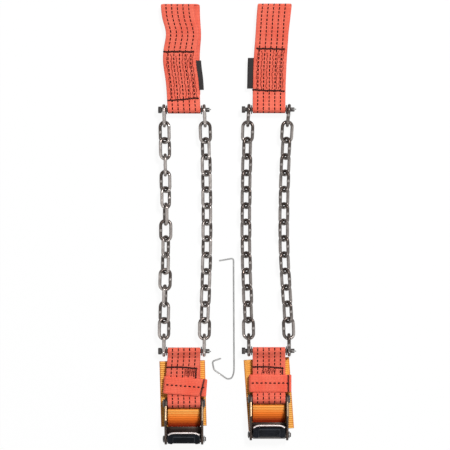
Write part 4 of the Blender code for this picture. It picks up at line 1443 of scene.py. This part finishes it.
def junction(bracelet, side, number):
    """Where a link meets the next one, in the left (0) or right (1) chain."""
    share = number / LINK_COUNT
    ends = min(number, LINK_COUNT - number, SETTLE_LINKS) / SETTLE_LINKS
    bend = SWAY_NEAR if share < 0.5 else SWAY_FAR
    x = bracelet.x + (CHAIN_HALF if side else -CHAIN_HALF)
    x += bracelet.sway[side] * max(0.0, math.sin(math.pi * share)) ** bend
    y = bracelet.lower.y - PIN_DIAMETER / 2 + number * LINK_PITCH
    settled = CHAIN_HEIGHT + (bracelet.lower.z - CHAIN_HEIGHT) * math.cos(math.pi / 2 * ends) ** 2
    beside = [link for link in (number, number + 1) if 1 <= link <= LINK_COUNT]
    rolls = [math.radians(link_roll(bracelet, side, link)) for link in beside]
    rest = BEND_RADIUS * max(abs(math.sin(roll)) for roll in rolls) + LINK_WIRE / 2 + FLOOR_CLEARANCE
    return Vector((x, y, max(settled, rest)))


def link_place(bracelet, side, number):
    """The middle of a link and its turn, its welded side up in the first bracelet and down in the second."""
    start, stop = junction(bracelet, side, number - 1), junction(bracelet, side, number)
    along = (stop - start).normalized()
    across = along.cross(Vector((0, 0, 1))).normalized()
    turn = Matrix((across, along, across.cross(along))).transposed()
    roll = math.radians(link_roll(bracelet, side, number)) * (1 if side else -1)
    roll += math.pi if (math.sin(roll) < 0) != bracelet.weld_up else 0
    return (start + stop) / 2, (turn @ Matrix.Rotation(roll, 3, "Y")).to_euler()


def links(name, places, body, nodes):
    mesh = bpy.data.meshes.new(name)
    mesh.from_pydata([middle for middle, turn in places], [], [])
    turns = mesh.attributes.new("turn", "FLOAT_VECTOR", "POINT")
    for item, (middle, turn) in zip(turns.data, places):
        item.vector = turn
    made = grown(name, mesh, link_nodes)
    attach(made, body)
    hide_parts(*nodes)


numbers = range(1, LINK_COUNT + 1)
for number in numbers:
    row = [link_place(first, side, number) for side in (0, 1)]
    links(f"chain_row_{number:02d}", row, f"row_{number:02d}",
          [f"chain_link_{word}_{number:02d}" for word in ("left", "right")])
slack = [link_place(second, side, number) for side in (0, 1) for number in numbers]
links("second_chains", slack, "second_chains", ["second_chain_left", "second_chain_right"])
print("links laid:", 4 * LINK_COUNT)

# %% [markdown]
# ## Turned, bent and cut metal
# Three helpers make nearly all the hardware. A lathe turns a profile round an axis along X. A tube follows
# a bent path. A plate is an outline in the side view, cut to a width and with its edges broken.

# %% Metal helpers
ROUND = 32
SOFT_ANGLE = math.radians(35)
WIRE_DOME = 0.4
BEND_LIMIT = 0.45


def finished(name, shape, finish):
    """An object from a bmesh, smooth but for its sharp corners."""
    bmesh.ops.recalc_face_normals(shape, faces=shape.faces)
    for face in shape.faces:
        face.smooth = True
    mesh = bpy.data.meshes.new(name)
    shape.to_mesh(mesh)
    shape.free()
    mesh.set_sharp_from_angle(angle=SOFT_ANGLE)
    return link_object(name, mesh, finish)


def skin(shape, rings, closed):
    """Faces between rings of vertices. A ring of one vertex is a tip."""
    for near, far in zip(rings, rings[1:] + (rings[:1] if closed else [])):
        if near is far:
            continue
        for step in range(max(len(near), len(far))):
            corners = [near[step % len(near)], near[(step + 1) % len(near)],
                       far[(step + 1) % len(far)], far[step % len(far)]]
            shape.faces.new(list(dict.fromkeys(corners)))


def lathe(name, profile, place, finish, closed=False):
    """A turned piece from (radius, x) points, about an axis along X."""
    shape = bmesh.new()
    rings = []
    for radius, x in profile:
        turns = [math.tau * step / ROUND for step in range(ROUND if radius else 1)]
        rings.append([shape.verts.new(place + Vector((x, radius * math.cos(turn), radius * math.sin(turn))))
                      for turn in turns])
    skin(shape, rings, closed)
    return finished(name, shape, finish)


def bent(points, radius, steps=6):
    """A path with its corners rounded."""
    path = [points[0]]
    for before, corner, after in zip(points, points[1:], points[2:]):
        start, stop = [corner + (end - corner).normalized() * min(radius, BEND_LIMIT * (end - corner).length)
                       for end in (before, after)]
        for step in range(steps + 1):
            share = step / steps
            path.append(start.lerp(corner, share).lerp(corner.lerp(stop, share), share))
    return path + [points[-1]]


def tube(name, path, radius, finish, sides=12):
    """A round wire along a path, its ends a little rounded."""
    shape = bmesh.new()
    rings = [[shape.verts.new(path[0] - (path[1] - path[0]).normalized() * radius * WIRE_DOME)]]
    side = None
    for place, point in enumerate(path):
        run = (path[min(place + 1, len(path) - 1)] - path[max(place - 1, 0)]).normalized()
        side = run.orthogonal().normalized() if side is None else (side - run * side.dot(run)).normalized()
        up = run.cross(side)
        turns = [math.tau * step / sides for step in range(sides)]
        rings.append([shape.verts.new(point + (side * math.cos(turn) + up * math.sin(turn)) * radius)
                      for turn in turns])
    rings.append([shape.verts.new(path[-1] + (path[-1] - path[-2]).normalized() * radius * WIRE_DOME)])
    skin(shape, rings, False)
    return finished(name, shape, finish)


def cut_plate(shape, outline, left, right, edge):
    """Adds to a bmesh a plate with an outline in Y and Z, from left to right in X, its edges broken."""
    sides = [[shape.verts.new((x, point.x, point.y)) for point in outline] for x in (left, right)]
    faces = [shape.faces.new(sides[0]), shape.faces.new(sides[1][::-1])]
    count = len(outline)
    for place in range(count):
        after = (place + 1) % count
        faces.append(shape.faces.new((sides[0][place], sides[1][place], sides[1][after], sides[0][after])))
    bmesh.ops.recalc_face_normals(shape, faces=faces)
    lines = dict.fromkeys(line for face in faces for line in face.edges)
    sharp = [line for line in lines if line.calc_face_angle(0) > SOFT_ANGLE]
    bmesh.ops.bevel(shape, geom=sharp, offset=edge, segments=2, profile=0.5, affect="EDGES",
                    clamp_overlap=True)


def stands_for(made, body, slot, *nodes):
    """A piece rides its body and stands for the solids that the frame has of it; its slot is not used."""
    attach(made, body)
    known = [node for node in nodes if node in frame["nodes"]]
    if known:
        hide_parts(*known)


print("metal helpers ready")

# %% [markdown]
# ## Clevis pins
# Each pin passes through an end link, a washer, the strap's loop, a second washer and the other end link.
# A cotter of thin wire with an eye keeps it in.

# %% Pins, washers and cotters
PIN_HEAD_DIAMETER = 0.0078
PIN_HEAD_THICK = 0.004
PIN_TIP = 0.003
WASHER_DIAMETER = 0.0105
COTTER_WIRE = 0.0013
COTTER_EYE = 0.0042
BORE_GAP = 0.00015
COTTER_X = CHAIN_HALF + LINK_WIRE / 2 + SIDE_PLAY + COTTER_WIRE / 2


def clevis_pin(bracelet, end, place, body):
    name = bracelet.name(end + "_pin")
    tip = COTTER_X + PIN_TIP
    head = -(CHAIN_HALF + LINK_WIRE / 2 + bracelet.head_play)
    top = head - PIN_HEAD_THICK
    radius, crown, edge = PIN_DIAMETER / 2, PIN_HEAD_DIAMETER / 2, PIN_DIAMETER / 10
    made = lathe(name + "_steel", [
        (0, tip), (radius - edge, tip), (radius, tip - edge), (radius, head), (crown - edge / 3, head),
        (crown, head - edge / 3), (crown, top + edge), (crown - edge / 3, top + edge / 3),
        (crown - edge, top), (0, top)], place, dark_steel)
    stands_for(made, body, "zinc_steel", name)


def ring(name, place, x, bore, diameter, thick, finish, body):
    edge = thick / 4
    made = lathe(name + "_steel", [
        (diameter / 2 - edge, x), (diameter / 2, x + edge), (diameter / 2, x + thick - edge),
        (diameter / 2 - edge, x + thick), (bore / 2, x + thick), (bore / 2, x)], place, finish, closed=True)
    stands_for(made, body, "zinc_steel", name)


def cotter(bracelet, end, place, body):
    name = bracelet.name(end + "_cotter")
    eye = COTTER_EYE / 2
    reach = PIN_DIAMETER / 2 + eye + COTTER_WIRE
    path = [Vector((0, COTTER_WIRE - reach))] + arc((eye, reach), eye, 180, -90, 24)
    wire = [place + Vector((COTTER_X + point.x, 0, point.y)) for point in path]
    made = tube(name + "_wire", wire, COTTER_WIRE / 2, wire_steel)
    stands_for(made, body, "zinc_steel", name)


def pin_set(bracelet, end, place, body):
    place = Vector((bracelet.x, place.y, place.z))
    clevis_pin(bracelet, end, place, body)
    cotter(bracelet, end, place, body)
    inner = STRAP_WIDTH / 2 + SIDE_PLAY
    for word, x in (("left", -inner - WASHER_THICK), ("right", inner)):
        ring(bracelet.name(f"{end}_washer_{word}"), place, x, PIN_DIAMETER + 2 * BORE_GAP, WASHER_DIAMETER,
             WASHER_THICK, dark_steel, body)


for each in bracelets:
    pin_set(each, "upper", each.upper, each.pin_body)
    pin_set(each, "lower", each.lower, each.strap_body)
print("pins set:", 2 * len(bracelets))

# %% [markdown]
# ## The buckle's frame
# The frame is one stamping: two cheeks and a floor. Cheeks and floor are plates cut from their outlines in
# the side view, kept together in one mesh. Its faces are marked for a painted highlight along the tops of
# the cheeks and for painted shade on the floor.

# %% Buckle frames
BAR_HEAD = 0.0018
CHEEK_THICK = 0.0028
CHEEK_PLAY = 0.0007
CHEEK_APEX_HEIGHT = 0.0225
CHEEK_APEX_FROM_BAR = 0.0189
CHEEK_EDGE = 0.00065
SLOPE_STEPS = 8
# Where the cheeks' tops carry a painted highlight, and how much on the left and on the right.
HIGHLIGHT_FROM_BAR = 0.0025
HIGHLIGHT_LEFT = 0.85
HIGHLIGHT_RIGHT = 0.28
FLOOR_BAND = 0.003
FLOOR_INSET = 0.002
FLOOR_EDGE = 0.0003
# Painted shade on the floor's front band, less than on the rest of the floor.
BAND_SHADE = 0.35
EAR_RADIUS = 0.0065
FLOOR_THICK = 0.002
CAM_PIN_DIAMETER = 0.005
CAM_PIN_HEAD = 0.008
CAM_PIN_HEAD_THICK = 0.002
CLIP_THICK = 0.0012
FRAME_BOTTOM = PAD_THICK + SEAT_GAP
FLOOR_TOP = FRAME_BOTTOM + FLOOR_THICK
CHEEK_INSIDE = STRAP_WIDTH / 2 + CHEEK_PLAY
CHEEK_OUTSIDE = CHEEK_INSIDE + CHEEK_THICK


def cheek_outline(bracelet):
    """The cheek from the side: round the bar, up to its apex, and down to the ear round the pivot."""
    apex_round = EAR_RADIUS / 2
    apex = (bracelet.bar.y - CHEEK_APEX_FROM_BAR, CHEEK_APEX_HEIGHT - apex_round)
    front = arc(bracelet.bar.yz, bracelet.bar.z - FRAME_BOTTOM, -90, 70, 16)
    top = arc(apex, apex_round, 60, 120, 8)
    slope = [front[-1].lerp(top[0], step / SLOPE_STEPS) for step in range(1, SLOPE_STEPS)]
    return front + slope + top + arc(bracelet.pivot.yz, EAR_RADIUS, 110, 270, 20)


def mark_frame(bracelet, shape, front):
    """Marks a painted highlight on the cheeks' tops, and painted shade on the floor, less in its front band.
    """
    worn, grime = [shape.faces.layers.float.new(mark) for mark in ("worn", "grime")]
    shape.normal_update()
    for face in shape.faces:
        place = face.calc_center_median()
        upward = face.normal.z > 0.35 and abs(face.normal.x) < 0.3
        along = bracelet.bar.y - place.y
        if upward and place.z > bracelet.bar.z and HIGHLIGHT_FROM_BAR < along < CHEEK_APEX_FROM_BAR:
            face[worn] = HIGHLIGHT_RIGHT if place.x > bracelet.x else HIGHLIGHT_LEFT
        elif place.z < FLOOR_TOP + SEAT_GAP and abs(place.x - bracelet.x) < CHEEK_INSIDE:
            face[grime] = BAND_SHADE if upward and front - place.y < FLOOR_BAND else 1.0


def buckle_frame(bracelet):
    shape = bmesh.new()
    outline = cheek_outline(bracelet)
    for left, right in ((-CHEEK_OUTSIDE, -CHEEK_INSIDE), (CHEEK_INSIDE, CHEEK_OUTSIDE)):
        cut_plate(shape, outline, bracelet.x + left, bracelet.x + right, CHEEK_EDGE)
    rear = bracelet.pivot.y - EAR_RADIUS + FLOOR_INSET
    front = bracelet.pivot.y + FLOOR_FROM_PIVOT
    floor = [Vector(corner) for corner in (
        (rear, FRAME_BOTTOM), (front, FRAME_BOTTOM), (front, FLOOR_TOP), (front - FLOOR_BAND, FLOOR_TOP),
        (rear, FLOOR_TOP))]
    half = CHEEK_INSIDE + CHEEK_THICK / 2
    cut_plate(shape, floor, bracelet.x - half, bracelet.x + half, FLOOR_EDGE)
    mark_frame(bracelet, shape, front)
    made = finished(bracelet.name("buckle_frame_steel"), shape, zinc_plate)
    stands_for(made, bracelet.name("buckle"), "zinc_steel", bracelet.name("buckle_frame"))
    print(made.name, len(made.data.polygons), "faces")


for each in bracelets:
    buckle_frame(each)

# %% [markdown]
# ## What crosses the frame
# A riveted bar holds the strap's loop, and a headed pin with a clip carries the cam. Both are turned, so the
# lathe makes each from half of its outline.


# %% Strap bars, cam pins and clips
def strap_bar(bracelet):
    radius, crown = BAR_DIAMETER / 2, BAR_DIAMETER / 2 + BAR_HEAD / 2
    inner = CHEEK_OUTSIDE + SEAT_GAP
    outer = inner + BAR_HEAD
    half = [
        (0, outer), (radius * 0.8, outer), (radius, outer - BAR_HEAD * 0.1), (crown, inner + BAR_HEAD / 2),
        (crown, inner), (radius, inner)]
    profile = half + [(size, -x) for size, x in reversed(half)]
    place = Vector((bracelet.x, bracelet.bar.y, bracelet.bar.z))
    made = lathe(bracelet.name("strap_bar_steel"), profile, place, dark_steel)
    stands_for(made, bracelet.name("buckle"), "zinc_steel", bracelet.name("strap_bar"))


def cam_pin(bracelet):
    radius, crown = CAM_PIN_DIAMETER / 2, CAM_PIN_HEAD / 2
    head = -CHEEK_OUTSIDE - SEAT_GAP
    tip = CHEEK_OUTSIDE + 2 * SEAT_GAP + 2 * CLIP_THICK
    place = Vector((bracelet.x, bracelet.pivot.y, bracelet.pivot.z))
    made = lathe(bracelet.name("cam_pin_steel"), [
        (0, tip), (radius * 0.85, tip), (radius, tip - radius * 0.15), (radius, head), (crown, head),
        (crown, head - CAM_PIN_HEAD_THICK / 2), (radius, head - CAM_PIN_HEAD_THICK * 0.9),
        (0, head - CAM_PIN_HEAD_THICK)], place, dark_steel)
    stands_for(made, bracelet.name("buckle"), "zinc_steel", bracelet.name("cam_pin"))
    ring(bracelet.name("cam_pin_clip"), place, CHEEK_OUTSIDE + SEAT_GAP, CAM_PIN_DIAMETER + 2 * BORE_GAP,
         CAM_PIN_HEAD, CLIP_THICK, wire_steel, bracelet.name("buckle"))


for each in bracelets:
    strap_bar(each)
    cam_pin(each)
print("bars and cam pins placed")

# %% [markdown]
# ## The cam lever
# The lever has a toothed nose that presses the webbing to the floor, and a bright lip to lift it by. It is
# a wide plate with one outline, and the lip is a bent rod along its edge. Both are measured from the pivot,
# so that the second lever can stand a little open.

# %% Cam levers
LEVER_PLAY = 0.0011
CAM_RADIUS = 0.0039
CAM_GAP = 0.0004
TOOTH_COUNT = 4
LIP_REACH = 0.0122
LIP_HEIGHT = 0.0123
LIP_THICK = 0.0016
LEVER_KNEE = Vector((0.0070, 0.0030))
LEVER_BACK_TOP = Vector((-0.0015, 0.0090))
LEVER_BACK_FOOT = Vector((-0.0042, 0.0040))
TOOTH_START = 0.0010
TOOTH_REACH = 0.0054
TOOTH_RISE = 0.0015
TOOTH_DEPTH = 0.0007
LEVER_WIDTH = 2 * (CHEEK_INSIDE - LEVER_PLAY)
LIP_ROD = 0.0010
LIP_HALF = 0.0138
LIP_CORNER = 0.0040
LIP_DROP = 0.0026
LIP_BEND = 0.006
LEVER_EDGE = 0.0003


def lever_outline():
    """The lever from the side, from its pivot: the hub, the toothed nose, the lip and the back."""
    depth = FLOOR_TOP + CAM_GAP - (FRAME_BOTTOM + EAR_RADIUS)
    outline = arc((0, 0), CAM_RADIUS, 180, 265, 8)
    for step in range(2 * TOOTH_COUNT + 1):
        share = step / (2 * TOOTH_COUNT)
        root = TOOTH_DEPTH if step % 2 else 0
        outline.append(Vector((TOOTH_START + TOOTH_REACH * share, depth + TOOTH_RISE * share + root)))
    lip = [Vector((LIP_REACH - LIP_THICK, LIP_HEIGHT - drop)) for drop in (2 * LIP_THICK, LIP_THICK)]
    return outline + [LEVER_KNEE] + lip + [LEVER_BACK_TOP, LEVER_BACK_FOOT]


def on_lever(bracelet, point):
    """A point measured from the lever's pivot, along and up, where the lever stands in the frame."""
    return Vector(bracelet.pivot.yz) + Matrix.Rotation(bracelet.lever_open, 2) @ point


def cam_lever(bracelet):
    shape = bmesh.new()
    outline = [on_lever(bracelet, point) for point in lever_outline()]
    cut_plate(shape, outline, bracelet.x - LEVER_WIDTH / 2, bracelet.x + LEVER_WIDTH / 2, LEVER_EDGE)
    made = finished(bracelet.name("cam_lever_steel"), shape, lever_steel)
    stands_for(made, bracelet.name("lever"), "black_steel", bracelet.name("cam_lever"))


def lever_lip(bracelet):
    """The bright rod along the lever's lip, its ends bent down."""
    bends = []
    for x, drop in ((-LIP_HALF - LIP_CORNER, LIP_DROP), (-LIP_HALF, 0), (LIP_HALF, 0),
                    (LIP_HALF + LIP_CORNER, LIP_DROP)):
        place = on_lever(bracelet, Vector((LIP_REACH - drop, LIP_HEIGHT + 2 * LIP_ROD - drop / 5)))
        bends.append(Vector((bracelet.x + x, *place)))
    made = tube(bracelet.name("lever_lip"), bent(bends, LIP_BEND), LIP_ROD, bright_lip)
    stands_for(made, bracelet.name("lever"), "zinc_steel")


for each in bracelets:
    cam_lever(each)
    lever_lip(each)
print("levers placed")

# %% [markdown]
# ## The lever's cover
# The black cover is moulded, with round corners, two feet and a raised panel. A plate with bevels would miss
# the soft rise of that panel, so the cover is a grid of points with a height for each, closed by a skirt.

# %% Lever covers
COVER_THICK = 0.0026
COVER_PANEL = 0.0008
COVER_PANEL_HALF = 0.0128
COVER_CORNER = 0.0042
COVER_NOTCH = 0.0013
COVER_ROUND = 0.0009
COVER_BEVEL = 0.0009
COVER_COLUMNS = 60
COVER_ROWS = 26
CORNER_SHARE = 0.8
FOOT_SPLAY = 0.25


def soft_step(value, stop):
    """0 up to 0, 1 from stop on, and a soft rise between."""
    share = clamp(value / stop)
    return share * share * (3 - 2 * share)


def cover_reach(across, half, length):
    """Where the cover starts and stops along its slope: round corners by the lip, two feet at the back."""
    side = max(0.0, abs(across) - (half - COVER_CORNER))
    start = COVER_CORNER - math.sqrt(COVER_CORNER ** 2 - side ** 2)
    notch = COVER_NOTCH * soft_step(COVER_PANEL_HALF + COVER_BEVEL - abs(across), COVER_BEVEL)
    return CORNER_SHARE * start, length - notch - FOOT_SPLAY * side


def cover_rise(across, along, start, stop, half):
    """The height of the cover's top over its slope, and its painted highlight: 1 on the bevel round its
    panel.
    """
    inside = min(along - start, stop - along, half - abs(across))
    lost = COVER_ROUND - math.sqrt(COVER_ROUND ** 2 - max(0.0, COVER_ROUND - inside) ** 2)
    panel = soft_step(COVER_PANEL_HALF - abs(across), COVER_BEVEL) * soft_step(
        min(along - 2 * COVER_BEVEL, stop - COVER_BEVEL - along), COVER_BEVEL)
    return COVER_PANEL * panel - lost, 4 * panel * (1 - panel)


def rim_of(columns):
    """The outline of a grid of columns, once round."""
    near, far = [column[0] for column in columns], [column[-1] for column in columns]
    return near + columns[-1][1:] + far[-2::-1] + columns[0][-2:0:-1]


def cover_shell(bracelet):
    """The moulded cover: a sloping tray with a raised panel, over the lever's back."""
    half = LEVER_WIDTH / 2
    front = Vector((LIP_REACH - LIP_THICK - COVER_THICK / 3, LIP_HEIGHT + SEAT_GAP + COVER_THICK))
    back = LEVER_BACK_TOP + Vector((-COVER_THICK / 2, SEAT_GAP + COVER_THICK))
    length = (front - back).length
    run = (back - front).normalized()
    up = Vector((run.y, -run.x))
    shape = bmesh.new()
    worn = shape.verts.layers.float.new("worn")

    def vert(across, along, rise, mark=0.0):
        made = shape.verts.new((bracelet.x + across, *on_lever(bracelet, front + run * along + up * rise)))
        made[worn] = mark
        return made

    grid, skirt = [], []
    for column in range(COVER_COLUMNS + 1):
        across = half * (2 * column / COVER_COLUMNS - 1)
        start, stop = cover_reach(across, half, length)
        places = [start + (stop - start) * row / COVER_ROWS for row in range(COVER_ROWS + 1)]
        grid.append([vert(across, along, *cover_rise(across, along, start, stop, half)) for along in places])
        ends = places if column in (0, COVER_COLUMNS) else (places[0], places[-1])
        skirt.append([vert(across, along, -COVER_THICK) for along in ends])
    for left, right in zip(grid, grid[1:]):
        for row in range(COVER_ROWS):
            shape.faces.new((left[row], right[row], right[row + 1], left[row + 1]))
    hem = rim_of(skirt)
    skin(shape, [rim_of(grid), hem], False)
    shape.faces.new(hem)
    return finished(bracelet.name("lever_cover_plastic"), shape, cover_black)


for each in bracelets:
    cover = cover_shell(each)
    stands_for(cover, each.name("lever"), "black_plastic", each.name("lever_cover"))
    print(cover.name, len(cover.data.polygons), "faces")

# %% [markdown]
# ## The cam's spring
# A torsion spring on the cam's pin closes the lever. It is a wire wound in a helix with two straight legs, so
# a loop works out its path and the tube follows it.

# %% Cam springs
SPRING_WIRE = 0.0011
SPRING_TURNS = 4
SPRING_PITCH = 0.0018
SPRING_RADIUS = 0.0036
SPRING_LEG = 0.005
TURN_STEPS = 24


def cam_spring(bracelet):
    sweep = SPRING_TURNS + 0.5
    steps = int(TURN_STEPS * sweep)
    length = sweep * SPRING_PITCH
    path = [Vector((-length / 2, SPRING_LEG, -SPRING_RADIUS))]
    for step in range(steps + 1):
        turn = -math.pi / 2 - math.tau * sweep * step / steps
        y, z = SPRING_RADIUS * math.cos(turn), SPRING_RADIUS * math.sin(turn)
        path.append(Vector((length * (step / steps - 0.5), y, z)))
    path.append(Vector((length / 2, SPRING_LEG, SPRING_RADIUS)))
    centre = Vector((bracelet.x, bracelet.pivot.y, bracelet.pivot.z))
    wire = [centre + point for point in path]
    made = tube(bracelet.name("cam_spring_wire"), wire, SPRING_WIRE / 2, wire_steel, sides=8)
    stands_for(made, bracelet.name("buckle"), "wire_steel", bracelet.name("cam_spring"))


for each in bracelets:
    cam_spring(each)
print("springs placed")

# %% [markdown]
# ## The threading hook
# A single bent wire with a short finger grip at its top and an open hook at its foot. It draws the strap
# through a wheel's spokes, and lies loose between the bracelets. A few bends give its route, and rounding
# them gives the wire its springy corners.

# %% Threading hook
HOOK_WIRE = 0.0018
HOOK_BEND = 0.0024
HOOK_PLACE = Vector((-0.0405, 0.0295, HOOK_WIRE / 2 + FLOOR_CLEARANCE))
HOOK_BENDS = (
    (-0.0173, 0.1258), (-0.0020, 0.1285), (-0.0006, 0.1271), (0.0, 0.0), (-0.0006, -0.0062),
    (-0.0030, -0.0112), (-0.0078, -0.0120), (-0.0235, -0.0010), (-0.0252, 0.0086), (-0.0154, 0.0121))
hook_path = bent([HOOK_PLACE + Vector((x, y, 0)) for x, y in HOOK_BENDS], HOOK_BEND)
hook = tube("threading_hook_wire", hook_path, HOOK_WIRE / 2, wire_steel)
stands_for(hook, "hook", "wire_steel", "threading_hook")
print("hook laid,", len(hook.data.polygons), "faces")

# %% [markdown]
# ## Both boxes
# The dressed object must keep the imported part's size, so both boxes are printed side by side.

# %% Finish
visual_box = [list(corner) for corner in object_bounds()]
({"cad": [[float(v) for v in c] for c in cad_box],
           "visual": [[float(v) for v in c] for c in visual_box]})
print("cad box", [[round(v, 4) for v in c] for c in cad_box])
print("visual box", [[round(v, 4) for v in c] for c in visual_box])
